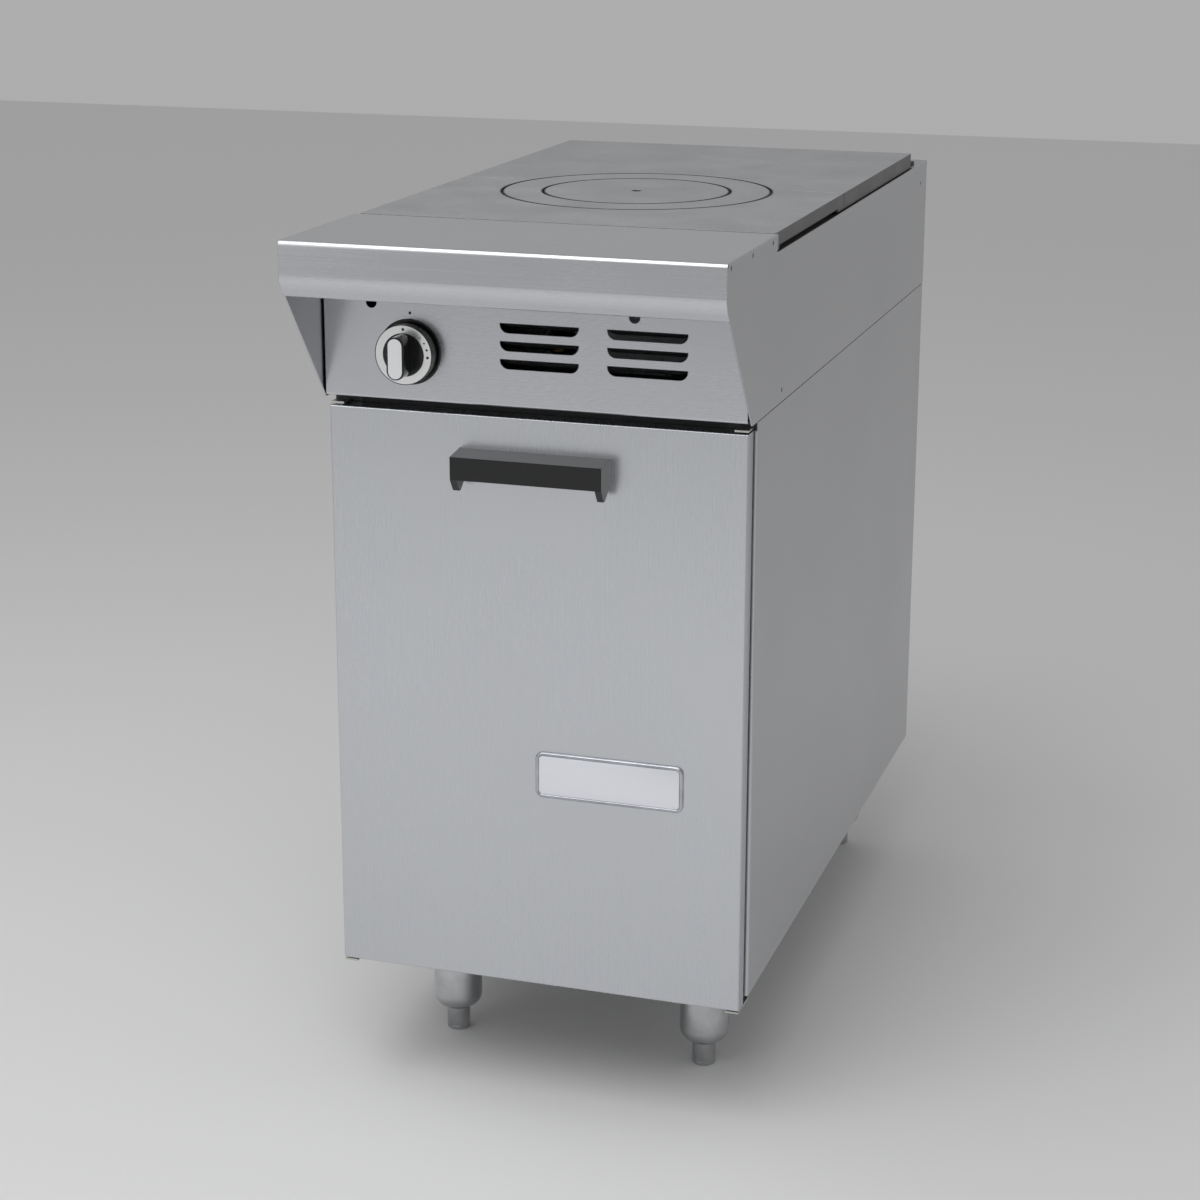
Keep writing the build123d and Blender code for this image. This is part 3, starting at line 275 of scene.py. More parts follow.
# %% Galvanised sheet
def galvanised(name, colour, size=90.0):
    material, tree, shader = start_finish(name, metallic=1.0)
    cells = add(tree, "ShaderNodeTexVoronoi")
    cells.inputs["Scale"].default_value = size
    cells.inputs["Randomness"].default_value = 1.0
    feed(tree, stretched(tree, (1.0, 1.0, 1.0)), cells.inputs["Vector"])
    channel = add(tree, "ShaderNodeSeparateColor")
    feed(tree, cells.outputs["Color"], channel.inputs["Color"])
    shade = channel.outputs["Red"]
    dark = tuple(c * 0.86 for c in colour)
    light = tuple(min(1.0, c * 1.08) for c in colour)
    feed(tree, tint(tree, shade, dark, light, (0.0, 1.0)), shader.inputs["Base Color"])
    feed(tree, spread(tree, shade, 0.38, 0.56, 0.0, 1.0), shader.inputs["Roughness"])
    bloom = noise(tree, stretched(tree, (25.0, 25.0, 25.0)), 1.0, 5.0, 0.6)
    feed(tree, bumped(tree, bloom, 0.1 * MM, 0.3, soft_edges(tree, 0.6 * MM)), shader.inputs["Normal"])
    return material


ZINC_SHEET = galvanised("galvanised_sheet", (0.50, 0.51, 0.52))
print("galvanised sheet ready")

# %% [markdown]
# ## Cast iron
# The cooking plates are cast in sand and then ground flat. Grinding leaves a fine even tooth,
# and the metal itself is mottled, because graphite flakes hold oil. Two noises of different
# sizes give the mottle, and a third, very fine one gives the tooth. Raw castings such as the
# burner keep the coarse skin of the sand, so the same recipe takes a depth. Only the top of a
# plate is ground. Its outer walls keep the darker skin of the mould. The walls of its grooves
# get painted shade: within reach of the ring the colour drops almost to black, and a band of
# painted shade spreads a little way on to the ground top at each side of a groove.

# %% Cast iron
# Near-black painted shade for the groove walls and the bands beside the grooves.
GROOVE_SHADE_COLOUR = (0.020, 0.020, 0.021)
WALL_COLOUR = (0.17, 0.17, 0.175)
TOP_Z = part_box("hot_plate_ring")[1][2]
RING_MIDDLE = (Vector(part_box("hot_plate_ring")[0]) + Vector(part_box("hot_plate_ring")[1])) / 2
HALF_GAP = 0.75 * MM
# Painted shade is full up to the first distance from a groove and gone at the second.
GROOVE_SHADE_FULL, GROOVE_SHADE_GONE = 2.0 * MM, 3.0 * MM


def round_radius(node):
    """Radius of a round casting, from its own box."""
    low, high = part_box(node)
    return (high[0] - low[0]) / 2


RING_REACH = round_radius("hot_plate_ring") + 6 * MM
GROOVES = [round_radius(node) + HALF_GAP for node in ("hot_plate_ring", "hot_plate_lid")]


def skin_and_groove_shade(tree, ground_colour):
    """Ground colour on top, a darker skin on the walls, painted shade in and beside the round grooves."""
    place = add(tree, "ShaderNodeTexCoord")
    split = add(tree, "ShaderNodeSeparateXYZ")
    feed(tree, place.outputs["Object"], split.inputs["Vector"])
    depth = spread(tree, split.outputs["Z"], 1.0, 0.0, TOP_Z - 0.45 * MM, TOP_Z - 0.15 * MM)
    level_place = add(tree, "ShaderNodeMapping")
    level_place.inputs["Location"].default_value = (-RING_MIDDLE.x, -RING_MIDDLE.y, 0.0)
    level_place.inputs["Scale"].default_value = (1.0, 1.0, 0.0)
    feed(tree, place.outputs["Object"], level_place.inputs["Vector"])
    reach = add(tree, "ShaderNodeVectorMath", operation="LENGTH")
    feed(tree, level_place.outputs["Vector"], reach.inputs[0])
    near = spread(tree, reach.outputs["Value"], 1.0, 0.0, RING_REACH, RING_REACH + 2 * MM)
    wall = add(tree, "ShaderNodeRGB")
    wall.outputs[0].default_value = (*WALL_COLOUR, 1.0)
    # This near-black colour is painted shade for the grooves.
    raw = add(tree, "ShaderNodeRGB")
    raw.outputs[0].default_value = (*GROOVE_SHADE_COLOUR, 1.0)
    # Painted shade: walls below the top, within reach of the ring, go almost black.
    share = combine(tree, depth, near)
    # A band of painted shade on the ground top at each side of a groove.
    for radius in GROOVES:
        offset = add(tree, "ShaderNodeMath", operation="SUBTRACT")
        offset.inputs[1].default_value = radius
        feed(tree, reach.outputs["Value"], offset.inputs[0])
        away = add(tree, "ShaderNodeMath", operation="ABSOLUTE")
        feed(tree, offset.outputs["Value"], away.inputs[0])
        groove_shade_band = spread(tree, away.outputs["Value"], 0.9, 0.0, GROOVE_SHADE_FULL, GROOVE_SHADE_GONE)
        share = combine(tree, share, groove_shade_band, "MAXIMUM")
    skin = mix_colours(tree, depth, ground_colour, wall.outputs[0])
    return mix_colours(tree, share, skin, raw.outputs[0])


def cast_iron(name, dark, light, roughness, tooth_depth, tooth_scale, ground=False):
    material, tree, shader = start_finish(name, metallic=0.75)
    mottle = noise(tree, stretched(tree, (14.0, 14.0, 14.0)), 1.0, 6.0, 0.62)
    speckle = noise(tree, stretched(tree, (260.0, 260.0, 260.0)), 1.0, 2.0, 0.5)
    blend = add(tree, "ShaderNodeMix", data_type="FLOAT")
    blend.inputs[0].default_value = 0.35
    feed(tree, mottle, blend.inputs[2])
    feed(tree, speckle, blend.inputs[3])
    colour = tint(tree, blend.outputs[0], dark, light, (0.35, 0.65))
    if ground:
        colour = skin_and_groove_shade(tree, colour)
    feed(tree, colour, shader.inputs["Base Color"])
    feed(tree, spread(tree, mottle, roughness - 0.05, roughness + 0.07), shader.inputs["Roughness"])
    tooth = noise(tree, stretched(tree, (tooth_scale,) * 3), 1.0, 3.0, 0.6)
    normal = bumped(tree, tooth, tooth_depth, 0.5, soft_edges(tree, 0.4 * MM))
    feed(tree, normal, shader.inputs["Normal"])
    return material


PLATE_IRON = cast_iron(
    "ground_plate_iron", (0.40, 0.405, 0.415), (0.50, 0.505, 0.52), 0.46, 0.05 * MM, 700.0, True
)
RAW_IRON = cast_iron("raw_cast_iron", (0.045, 0.045, 0.047), (0.09, 0.09, 0.09), 0.68, 0.3 * MM, 420.0)
print("two kinds of cast iron")

# %% [markdown]
# ## Moulded plastic
# The knob and the handle are moulded in a spark-eroded tool, which gives plastic its fine
# leathery pebble. It is a very small bump and a broken gloss. Fingers polish the outer edges,
# so a cloudy noise lowers the roughness in places.

# %% Plastic
def moulded_plastic(name, colour, roughness=0.42, pebble=0.04 * MM, edge=0.5 * MM):
    material, tree, shader = start_finish(name)
    pebbles = noise(tree, stretched(tree, (1500.0,) * 3), 1.0, 2.0, 0.5)
    clouds = noise(tree, stretched(tree, (30.0,) * 3), 1.0, 3.0, 0.5)
    dark = tuple(c * 0.85 for c in colour)
    light = tuple(min(1.0, c * 1.18) for c in colour)
    feed(tree, tint(tree, clouds, dark, light), shader.inputs["Base Color"])
    feed(tree, spread(tree, clouds, roughness - 0.06, roughness + 0.06), shader.inputs["Roughness"])
    feed(tree, bumped(tree, pebbles, pebble, 0.5, soft_edges(tree, edge)), shader.inputs["Normal"])
    return material


BLACK_PLASTIC = moulded_plastic("black_moulded_plastic", (0.009, 0.0095, 0.010), 0.20)
HANDLE_PLASTIC = moulded_plastic("handle_moulded_plastic", (0.006, 0.0065, 0.007), 0.22)
handle_shader = HANDLE_PLASTIC.node_tree.nodes["Principled BSDF"]
handle_shader.inputs["IOR"].default_value = 1.42
handle_shader.inputs["Coat Weight"].default_value = 0.15
handle_shader.inputs["Coat Roughness"].default_value = 0.22
handle_shader.inputs["Sheen Weight"].default_value = 0.9
handle_shader.inputs["Sheen Roughness"].default_value = 0.30
NYLON = moulded_plastic("white_nylon", (0.72, 0.70, 0.65), 0.5)
print("three plastics")

# %% [markdown]
# ## Small metals, paint and board
# Brass, drawn tube, zinc plate and black pipe share one recipe: a turned or drawn surface has
# fine lines round or along it, so a stretched noise gives a little of both colour and bump.
# Paint is the same without the metal. Insulation board is a felt of short fibres, so it gets a
# noise with many octaves and a deep bump.

# %% Small finishes
def drawn_metal(name, colour, roughness, stretch=(300.0, 300.0, 300.0), metallic=1.0, depth=0.04 * MM):
    material, tree, shader = start_finish(name, metallic=metallic)
    lines = noise(tree, stretched(tree, stretch), 1.0, 3.0, 0.55)
    patina = noise(tree, stretched(tree, (35.0,) * 3), 1.0, 4.0, 0.6)
    dark = tuple(c * 0.80 for c in colour)
    light = tuple(min(1.0, c * 1.10) for c in colour)
    feed(tree, tint(tree, patina, dark, light), shader.inputs["Base Color"])
    feed(tree, spread(tree, lines, roughness - 0.04, roughness + 0.06), shader.inputs["Roughness"])
    feed(tree, bumped(tree, lines, depth, 0.4, soft_edges(tree, 0.4 * MM)), shader.inputs["Normal"])
    return material


def felted_board(name, colour):
    material, tree, shader = start_finish(name, roughness=0.95)
    fibres = noise(tree, stretched(tree, (220.0, 90.0, 220.0)), 1.0, 8.0, 0.7)
    dark = tuple(c * 0.78 for c in colour)
    feed(tree, tint(tree, fibres, dark, colour), shader.inputs["Base Color"])
    feed(tree, bumped(tree, fibres, 0.6 * MM, 0.7), shader.inputs["Normal"])
    return material


TURNED_LINES = (90.0, 90.0, 900.0)
SMALL = {
    "brass": drawn_metal("machined_brass", (0.62, 0.44, 0.20), 0.30),
    "aluminium_tube": drawn_metal("drawn_tube", (0.66, 0.67, 0.68), 0.32),
    "black_pipe": drawn_metal("black_pipe_skin", (0.030, 0.030, 0.032), 0.55, metallic=0.4),
    "regulator_paint": drawn_metal("grey_enamel", (0.22, 0.24, 0.26), 0.36, metallic=0.0),
    "zinc_steel": drawn_metal("zinc_plate", (0.60, 0.60, 0.57), 0.34),
    "frame_steel": drawn_metal("frame_paint", (0.055, 0.056, 0.060), 0.48, metallic=0.2),
    "screw_steel": drawn_metal("screw_head_steel", (0.20, 0.20, 0.205), 0.38),
    "leg_steel": drawn_metal("polished_leg", (0.58, 0.585, 0.60), 0.14, TURNED_LINES, depth=0.01 * MM),
    "foot_steel": drawn_metal("turned_foot", (0.52, 0.525, 0.535), 0.16, TURNED_LINES, depth=0.01 * MM),
    "insulation": felted_board("fibre_board", (0.66, 0.62, 0.54)),
}
print(len(SMALL), "small finishes")

# %% [markdown]
# ## Knob metal and nameplate
# The dial ring is satin anodised aluminium, turned on a lathe, so the light runs round it in
# rings. The distance from the knob's axis, put through a noise, gives rings. The axis comes from
# the dial's own box. The strip in the grip gets a satin finish brushed along its length.

# %% Spun aluminium
def middle(node):
    low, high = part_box(node)
    return (Vector(low) + Vector(high)) / 2


def spun_aluminium(name, colour, centre, roughness=0.26):
    """Rings round an axis along Y through a point."""
    material, tree, shader = start_finish(name, metallic=1.0)
    place = add(tree, "ShaderNodeTexCoord")
    mapping = add(tree, "ShaderNodeMapping")
    mapping.inputs["Location"].default_value = (-centre.x, 0.0, -centre.z)
    mapping.inputs["Scale"].default_value = (1.0, 0.0, 1.0)
    feed(tree, place.outputs["Object"], mapping.inputs["Vector"])
    length = add(tree, "ShaderNodeVectorMath", operation="LENGTH")
    feed(tree, mapping.outputs["Vector"], length.inputs[0])
    across = add(tree, "ShaderNodeCombineXYZ")
    feed(tree, length.outputs["Value"], across.inputs["X"])
    rings = noise(tree, across.outputs["Vector"], 2500.0, 3.0, 0.6)
    dark = tuple(c * 0.90 for c in colour)
    light = tuple(min(1.0, c * 1.06) for c in colour)
    feed(tree, tint(tree, rings, dark, light), shader.inputs["Base Color"])
    feed(tree, spread(tree, rings, roughness - 0.04, roughness + 0.08), shader.inputs["Roughness"])
    feed(tree, bumped(tree, rings, 0.03 * MM, 0.5, soft_edges(tree, 0.25 * MM)), shader.inputs["Normal"])
    return material


KNOB_AXIS = middle("knob_dial")
DIAL_METAL = spun_aluminium("spun_dial", (0.95, 0.955, 0.97), KNOB_AXIS, 0.20)
INSERT_METAL = brushed_steel("insert_satin", (0.93, 0.94, 0.96), "Z", 0.34, 0.3 * MM)
PLATE_RIM = drawn_metal("nameplate_rim", (0.50, 0.515, 0.55), 0.14)
PLATE_FACE = brushed_steel("nameplate_face", (0.90, 0.915, 0.965), "X", 0.42, 0.3 * MM)
print("knob axis", [round(v, 4) for v in KNOB_AXIS])

# %% [markdown]
# ## Dressing the frame
# The CAD shapes of sheets, castings, legs and pipes are right, so they stay and only get a
# finish. A table from node to material says who wears what.

# %% Dress the CAD nodes
FINISH = {
    "rail_steel": RAIL_STEEL,
    "panel_steel": PANEL_STEEL,
    "door_steel": DOOR_STEEL,
    "side_steel": SIDE_STEEL,
    "galvanised": ZINC_SHEET,
    "cast_plate": PLATE_IRON,
    "dark_iron": RAW_IRON,
    "black_plastic": BLACK_PLASTIC,
    "handle_plastic": HANDLE_PLASTIC,
    "white_nylon": NYLON,
    "silver_dial": DIAL_METAL,
    "plate_trim": PLATE_RIM,
    **SMALL,
}
for part in frame["record"]["subparts"]:
    piece = NODES[part["node"]]
    piece.data.materials.clear()
    piece.data.materials.append(FINISH[part["material_slot"]])
NODES["knob_insert"].data.materials[0] = INSERT_METAL
# The cabinet ceiling wears the near-black pipe finish as painted shade in the gap above the door.
NODES["cabinet_ceiling"].data.materials[0] = FINISH["black_pipe"]
# The cabinet sides wear the steel with painted shade on the stile fronts above the door.
for node in ("lower_side_left", "lower_side_right"):
    NODES[node].data.materials[0] = CABINET_STEEL

# %% [markdown]
# ## Mesh helpers
# New pieces are made with bmesh, point by point, and are given the same few last steps: link
# them to the scene, shade them smooth by angle, put on a finish, and ride on the right body.

# %% Mesh helpers
def finished_piece(name, mesh_in_progress, finish, body):
    """Turn a bmesh into a scene object on a moving body."""
    mesh = bpy.data.meshes.new(name)
    bmesh.ops.recalc_face_normals(mesh_in_progress, faces=mesh_in_progress.faces)
    mesh_in_progress.to_mesh(mesh)
    mesh_in_progress.free()
    mesh.materials.append(finish)
    mesh.shade_smooth()
    mesh.set_sharp_from_angle(angle=radians(35))
    piece = bpy.data.objects.new(name, mesh)
    bpy.context.collection.objects.link(piece)
    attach(piece, body)
    return piece


def loft(work, rings, cap_first=True, cap_last=True):
    """Skin a stack of rings that have the same number of points."""
    rows = [[work.verts.new(point) for point in ring] for ring in rings]
    for lower, upper in zip(rows, rows[1:]):
        for i in range(len(lower)):
            j = (i + 1) % len(lower)
            work.faces.new((lower[i], lower[j], upper[j], upper[i]))
    if cap_first:
        work.faces.new(list(reversed(rows[0])))
    if cap_last:
        work.faces.new(rows[-1])


def rounded_rectangle(centre, width, height, radius, y, steps=8):
    """Points round a rectangle with round corners, upright, facing the front."""
    points = []
    corners = ((1, 1, 0.0), (-1, 1, 90.0), (-1, -1, 180.0), (1, -1, 270.0))
    for sx, sz, start in corners:
        cx = centre.x + sx * (width / 2 - radius)
        cz = centre.z + sz * (height / 2 - radius)
        for k in range(steps + 1):
            angle = radians(start + 90.0 * k / steps)
            points.append((cx + radius * cos(angle), y, cz + radius * sin(angle)))
    return points


print("mesh helpers ready")

# %% [markdown]
# ## The nameplate
# It is a small die casting: a bright raised rim with a rounded top, and a satin face set a
# little lower inside it. Both are lofts of rounded rectangles. Each ring is the outline of the
# plate at one depth, and walking through the rings draws its section, up over the rim and down
# to the face. The face is left blank.

# %% Nameplate
PLATE_LOW, PLATE_HIGH = (Vector(v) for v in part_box("nameplate"))
plate_centre = (PLATE_LOW + PLATE_HIGH) / 2
plate_w = PLATE_HIGH.x - PLATE_LOW.x
plate_h = PLATE_HIGH.z - PLATE_LOW.z
plate_back = PLATE_HIGH.y
plate_corner = 8.0 * MM
face_section = [(3.8, 1.4), (4.0, 2.2), (4.6, 2.45)]
rim_section = [(0.0, 0.0), (0.0, 1.6), (0.5, 2.4), (1.4, 2.9), (2.4, 3.0), (3.2, 2.7), (3.7, 2.1), (3.8, 1.5)]


def plate_ring(inset, height):
    return rounded_rectangle(
        plate_centre,
        plate_w - 2 * inset,
        plate_h - 2 * inset,
        plate_corner - inset,
        plate_back - height,
    )


rim = bmesh.new()
loft(rim, [plate_ring(i * MM, h * MM) for i, h in rim_section])
nameplate_rim = finished_piece("nameplate_rim", rim, PLATE_RIM, "door")
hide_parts("nameplate")

face = bmesh.new()
loft(face, [plate_ring(i * MM, h * MM) for i, h in face_section])
finished_piece("nameplate_face", face, PLATE_FACE, "door")
print("nameplate", round(plate_w / MM, 1), "by", round(plate_h / MM, 1), "mm")

# %% [markdown]
# ## Screws by Geometry Nodes
# The casing is held by rows of the same screw, which is what Geometry Nodes are for: build one
# screw, put it on every station, turn each a little differently. The stations are read from the
# CAD screws: each loose part of that node is one screw, and the end of it that faces outward is
# where a head goes. One node group does both kinds, the flush ones in the sides and the pan
# heads at the back, and its inputs are the sizes. The cross recess is two bars cut out of the
# head with a Boolean before the screw is instanced, so the cut is worked out only once.

# %% Screw node group
def node_input(group, name, kind, value=None):
    socket = group.interface.new_socket(name=name, in_out="INPUT", socket_type=kind)
    if value is not None:
        socket.default_value = value
    return socket


def screw_group():
    group = bpy.data.node_groups.new("cross_head_screws", "GeometryNodeTree")
    node_input(group, "Stations", "NodeSocketGeometry")
    node_input(group, "Head Radius", "NodeSocketFloat", 4.2 * MM)
    node_input(group, "Head Height", "NodeSocketFloat", 2.2 * MM)
    node_input(group, "Shank Radius", "NodeSocketFloat", 2.0 * MM)
    node_input(group, "Shank Length", "NodeSocketFloat", 6.0 * MM)
    node_input(group, "Crown", "NodeSocketFloat", 0.72)
    node_input(group, "Recess Length", "NodeSocketFloat", 4.4 * MM)
    node_input(group, "Recess Width", "NodeSocketFloat", 0.9 * MM)
    node_input(group, "Recess Depth", "NodeSocketFloat", 1.0 * MM)
    node_input(group, "Seed", "NodeSocketInt", 7)
    node_input(group, "Finish", "NodeSocketMaterial")
    group.interface.new_socket(name="Screws", in_out="OUTPUT", socket_type="NodeSocketGeometry")
    given = group.nodes.new("NodeGroupInput")
    result = group.nodes.new("NodeGroupOutput")

    def node(kind, links=None, **settings):
        made = group.nodes.new(kind)
        for key, value in settings.items():
            setattr(made, key, value)
        for socket, source in (links or {}).items():
            if hasattr(source, "is_output"):
                group.links.new(source, made.inputs[socket])
            else:
                made.inputs[socket].default_value = source
        return made

    def times(first, second, how="MULTIPLY"):
        return node("ShaderNodeMath", {0: first, 1: second}, operation=how).outputs[0]

    def box(length, width, depth):
        size = node("ShaderNodeCombineXYZ", {"X": length, "Y": width, "Z": depth})
        return node("GeometryNodeMeshCube", {"Size": size.outputs[0]}).outputs["Mesh"]

    head = node("GeometryNodeMeshCone", {
        "Vertices": 28,
        "Radius Top": times(given.outputs["Head Radius"], given.outputs["Crown"]),
        "Radius Bottom": given.outputs["Head Radius"],
        "Depth": times(given.outputs["Head Height"], 0.45),
    })
    rim = node("GeometryNodeMeshCylinder", {
        "Vertices": 28,
        "Radius": given.outputs["Head Radius"],
        "Depth": times(given.outputs["Head Height"], 0.55),
    })
    shank = node("GeometryNodeMeshCylinder", {
        "Vertices": 20,
        "Radius": given.outputs["Shank Radius"],
        "Depth": given.outputs["Shank Length"],
    })

    def raised(mesh, z):
        shift = node("ShaderNodeCombineXYZ", {"Z": z})
        return node("GeometryNodeTransform", {"Geometry": mesh, "Translation": shift.outputs[0]}).outputs[0]

    rim_up = raised(rim.outputs["Mesh"], times(given.outputs["Head Height"], 0.275))
    head_up = raised(head.outputs["Mesh"], times(given.outputs["Head Height"], 0.55))
    shank_down = raised(shank.outputs["Mesh"], times(given.outputs["Shank Length"], -0.5))
    whole = node("GeometryNodeMeshBoolean", operation="UNION")
    for mesh in (rim_up, head_up, shank_down):
        group.links.new(mesh, whole.inputs["Mesh 2"])
    long, narrow = given.outputs["Recess Length"], given.outputs["Recess Width"]
    across = box(long, narrow, times(given.outputs["Recess Depth"], 2.0))
    along = box(narrow, long, times(given.outputs["Recess Depth"], 2.0))
    cut = node("GeometryNodeMeshBoolean", {"Mesh 1": whole.outputs["Mesh"]}, operation="DIFFERENCE")
    for bar in (across, along):
        group.links.new(raised(bar, given.outputs["Head Height"]), cut.inputs["Mesh 2"])
    facing = node("GeometryNodeInputNamedAttribute", {"Name": "facing"}, data_type="FLOAT_VECTOR")
    aim = node("FunctionNodeAlignRotationToVector", {"Vector": facing.outputs["Attribute"]}, axis="Z")
    spin = node("FunctionNodeRandomValue", {"Seed": given.outputs["Seed"]}, data_type="FLOAT")
    turn = node("ShaderNodeCombineXYZ", {"Z": times(spin.outputs[1], pi / 2)})
    turned = node("FunctionNodeRotateRotation", {"Rotation": aim.outputs[0], "Rotate By": turn.outputs[0]})
    turned.rotation_space = "LOCAL"
    placed = node("GeometryNodeInstanceOnPoints", {
        "Points": given.outputs["Stations"],
        "Instance": cut.outputs["Mesh"],
        "Rotation": turned.outputs[0],
    })
    real = node("GeometryNodeRealizeInstances", {"Geometry": placed.outputs[0]})
    dressed = node("GeometryNodeSetMaterial", {
        "Geometry": real.outputs[0],
        "Material": given.outputs["Finish"],
    })
    group.links.new(dressed.outputs[0], result.inputs[0])
    return group


SCREWS = screw_group()
print("screw group with", len(SCREWS.nodes), "nodes")

# %% Screws on their stations
def loose_boxes(node):
    """Low and high corner of each loose part of a CAD node."""
    work = bmesh.new()
    work.from_mesh(NODES[node].data)
    work.transform(NODES[node].matrix_world)
    bmesh.ops.remove_doubles(work, verts=work.verts, dist=1e-6)
    seen, boxes = set(), []
    for start in work.verts:
        if start in seen:
            continue
        seen.add(start)
        island, queue = [], [start]
        while queue:
            vert = queue.pop()
            island.append(vert.co.copy())
            for edge in vert.link_edges:
                other = edge.other_vert(vert)
                if other not in seen:
                    seen.add(other)
                    queue.append(other)
        low = Vector([min(co[k] for co in island) for k in range(3)])
        high = Vector([max(co[k] for co in island) for k in range(3)])
        boxes.append((low, high))
    work.free()
    return boxes


def screws_on(name, stations, finish, slot, body, **sizes):
    """A plain mesh of screws: stations are pairs of a point and an outward direction."""
    mesh = bpy.data.meshes.new(name + "_stations")
    mesh.from_pydata([point for point, _ in stations], [], [])
    facing = mesh.attributes.new("facing", "FLOAT_VECTOR", "POINT")
    for item, (_, outward) in zip(facing.data, stations):
        item.vector = outward
    holder = bpy.data.objects.new(name + "_stations", mesh)
    bpy.context.collection.objects.link(holder)
    modifier = holder.modifiers.new("screws", "NODES")
    modifier.node_group = SCREWS
    for item in SCREWS.interface.items_tree:
        if item.in_out == "INPUT" and item.name in sizes:
            modifier[item.identifier] = sizes[item.name]
        if item.in_out == "INPUT" and item.name == "Finish":
            modifier[item.identifier] = finish
    evaluated = holder.evaluated_get(bpy.context.evaluated_depsgraph_get())
    plain = bpy.data.meshes.new_from_object(evaluated)
    bpy.data.objects.remove(holder)
    plain.name = name
    plain.shade_smooth()
    plain.set_sharp_from_angle(angle=radians(30))
    piece = bpy.data.objects.new(name, plain)
    bpy.context.collection.objects.link(piece)
    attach(piece, body)
    return piece


SCREW_FINISH = SMALL["screw_steel"]
FLUSH_HEAD = 0.4 * MM
PAN_HEAD = 2.2 * MM
side_stations = []
for low, high in loose_boxes("side_screws"):
    side = 1.0 if low.x > 0 else -1.0
    outer = high.x if side > 0 else low.x
    seat = (outer - side * FLUSH_HEAD, (low.y + high.y) / 2, (low.z + high.z) / 2)
    side_stations.append((seat, (side, 0.0, 0.0)))
side_radius = (high.y - low.y) / 2
flush_screws = screws_on(
    "flush_screws", side_stations, SCREW_FINISH, "screw_steel", "cabinet",
    **{"Head Radius": side_radius, "Head Height": FLUSH_HEAD, "Shank Radius": side_radius * 0.98,
       "Shank Length": high.x - low.x - FLUSH_HEAD, "Crown": 0.86, "Recess Length": side_radius * 1.3,
       "Recess Width": 0.7 * MM, "Recess Depth": 0.9 * MM, "Seed": 3},
)
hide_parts("side_screws")

back_stations = []
for low, high in loose_boxes("back_screws"):
    seat = ((low.x + high.x) / 2, high.y - PAN_HEAD, (low.z + high.z) / 2)
    back_stations.append((seat, (0.0, 1.0, 0.0)))
back_radius = (high.x - low.x) / 2
pan_screws = screws_on(
    "pan_screws", back_stations, SCREW_FINISH, "screw_steel", "cabinet",
    **{"Head Radius": back_radius, "Shank Length": high.y - low.y - PAN_HEAD, "Seed": 5},
)
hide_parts("back_screws")
print(len(side_stations), "flush screws and", len(back_stations), "pan heads")

# %% [markdown]
# ## Dial marks
# The dial has one index dot at the top and a row of dots that grow as the flame does, and the
# panel has its own index dot above the knob with a small pointer below it. They are printed on
# the real object. Here each is a very thin disc, so it stays a crisp shape at any distance, and
# the marks on the dial turn with the knob.

# %% Printed marks
PRINT_BLACK = moulded_plastic("mark_ink", (0.02, 0.02, 0.022), 0.5)
INK = 0.12 * MM


def add_dot(work, x, z, radius, y, sides=20):
    """A thin disc facing the front."""
    turns = [2 * pi * k / sides for k in range(sides)]
    outline = [(x + radius * cos(turn), z + radius * sin(turn)) for turn in turns]
    loft(work, [[(px, y, pz) for px, pz in outline], [(px, y - INK, pz) for px, pz in outline]])


dial_low, dial_high = (Vector(v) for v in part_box("knob_dial"))
dial_radius = (dial_high.x - dial_low.x) / 2
marks = bmesh.new()
mark_track = dial_radius - 3.9 * MM
INDEX_DOT = 1.5 * MM
FLAME_DOTS = ((45.0, 0.7), (60.0, 0.95), (76.0, 1.2), (93.0, 1.5))
add_dot(marks, KNOB_AXIS.x, KNOB_AXIS.z + mark_track, INDEX_DOT, dial_low.y)
for angle, size in FLAME_DOTS:
    turn = radians(90.0 - angle)
    dot_x = KNOB_AXIS.x + mark_track * cos(turn)
    dot_z = KNOB_AXIS.z + mark_track * sin(turn)
    add_dot(marks, dot_x, dot_z, size * MM, dial_low.y)
finished_piece("dial_marks", marks, PRINT_BLACK, "knob")

panel_low = Vector(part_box("valve_panel")[0])
panel_marks_mesh = bmesh.new()
add_dot(panel_marks_mesh, KNOB_AXIS.x + 0.6 * MM, KNOB_AXIS.z + 40.0 * MM, INDEX_DOT, panel_low.y)
pointer = [(-1.6, 0.0), (1.6, 0.0), (0.0, -2.6)]
tip_x, tip_z = KNOB_AXIS.x + 1.7 * MM, KNOB_AXIS.z + 37.2 * MM
outline = [(tip_x + px * MM, tip_z + pz * MM - 3.0 * MM) for px, pz in pointer]
loft(
    panel_marks_mesh,
    [[(x, panel_low.y, z) for x, z in outline], [(x, panel_low.y - INK, z) for x, z in outline]],
)
finished_piece("panel_marks", panel_marks_mesh, PRINT_BLACK, "cabinet")
print("dial radius", round(dial_radius / MM, 2), "mm")

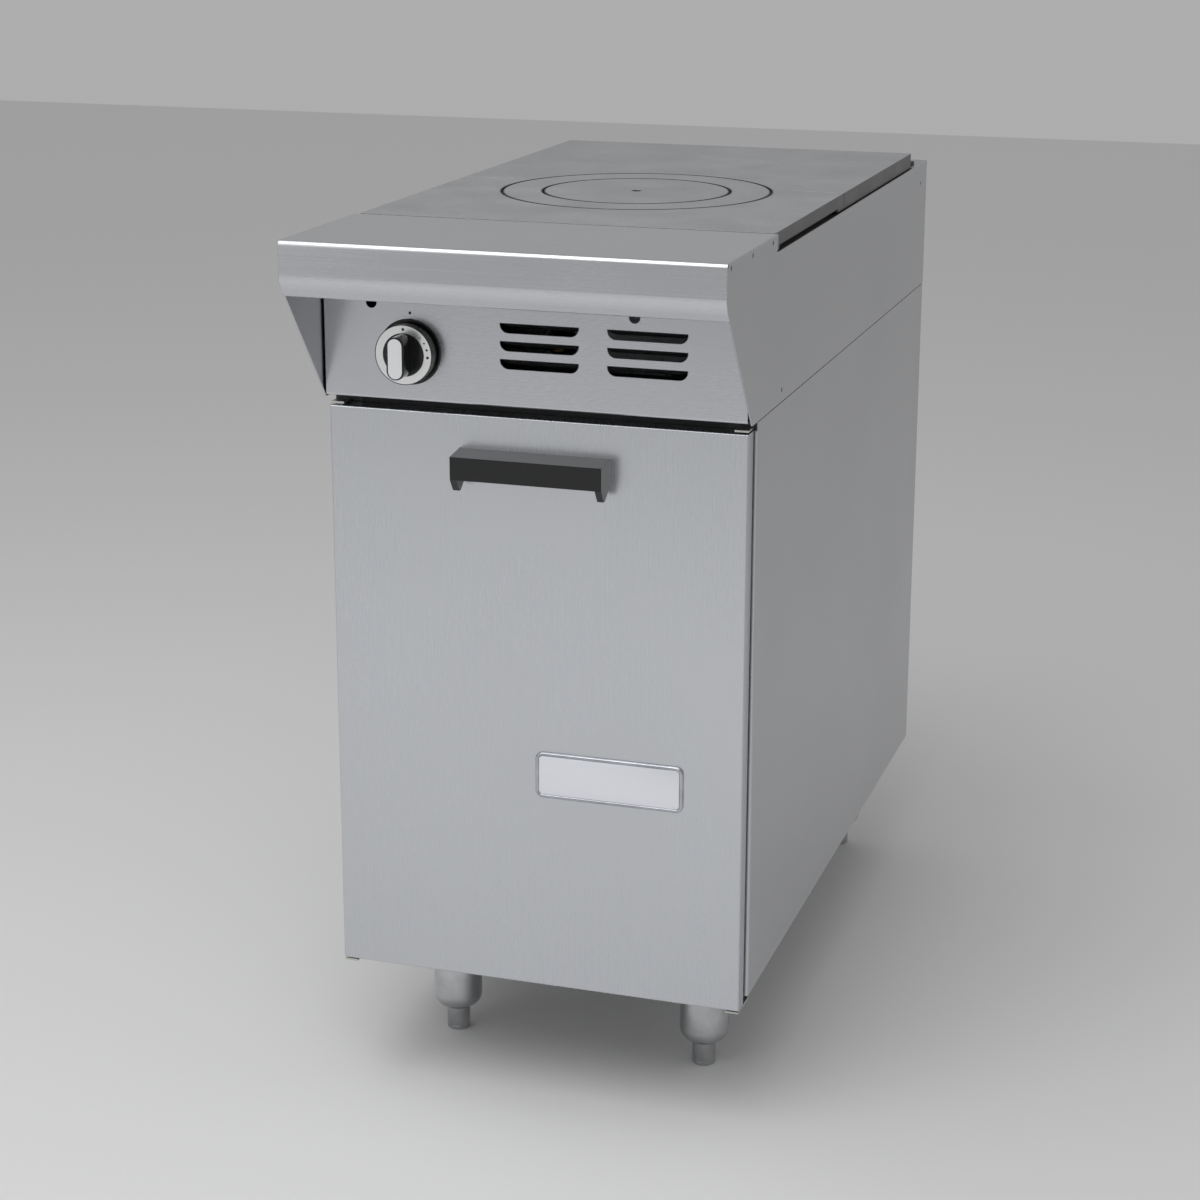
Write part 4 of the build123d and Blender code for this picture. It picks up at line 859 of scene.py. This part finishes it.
# %% [markdown]
# ## The studio
# A brushed box shows the room more than itself. The room is kept plain: one pale floor, an even
# grey surround and three big soft lights. Most of the light falls in front, so the floor there
# is brighter than behind, and the front of the range comes out lighter than its sides.

# %% Floor and world
FLOOR_HALF = 9.0
floor_mesh = bpy.data.meshes.new("floor")
work = bmesh.new()
floor_signs = ((-1, -1), (1, -1), (1, 1), (-1, 1))
work.faces.new([work.verts.new((sx * FLOOR_HALF, sy * FLOOR_HALF, 0.0)) for sx, sy in floor_signs])
work.to_mesh(floor_mesh)
work.free()
floor = bpy.data.objects.new("floor", floor_mesh)
bpy.context.collection.objects.link(floor)

material, tree, shader = start_finish("studio_floor", roughness=0.9)
shader.inputs["Base Color"].default_value = (0.80, 0.80, 0.80, 1.0)
speck = noise(tree, stretched(tree, (3.0, 3.0, 3.0)), 1.0, 4.0, 0.5)
feed(tree, spread(tree, speck, 0.85, 0.95), shader.inputs["Roughness"])
floor.data.materials.append(material)

SURROUND = 0.42
world = bpy.data.worlds.new("studio")
bpy.context.scene.world = world
world.use_nodes = True
background = world.node_tree.nodes["Background"]
background.inputs["Color"].default_value = (SURROUND, SURROUND, SURROUND, 1.0)
background.inputs["Strength"].default_value = 1.0


def softbox(name, place, target, size, watts, colour=(1.0, 1.0, 1.0)):
    lamp = bpy.data.lights.new(name, "AREA")
    lamp.shape = "RECTANGLE"
    lamp.size, lamp.size_y = size
    lamp.energy = watts
    lamp.color = colour
    holder = bpy.data.objects.new(name, lamp)
    bpy.context.collection.objects.link(holder)
    away = Vector(place) - Vector(target)
    holder.matrix_world = Matrix.Translation(place) @ away.to_track_quat("Z", "Y").to_matrix().to_4x4()
    return holder


softbox("overhead", (-0.6, -0.8, 3.6), (0.0, 0.0, 0.6), (2.2, 0.9), 14.0)
softbox("front_top", (-0.3, -2.3, 2.8), (-0.1, -1.8, 0.0), (3.2, 2.2), 42.0)
softbox("front_left", (-2.6, -3.6, 1.8), (0.0, -0.4, 0.5), (2.4, 2.4), 12.0, (0.97, 0.98, 1.0))
bpy.context.scene.view_settings.view_transform = "Standard"
print("studio ready")
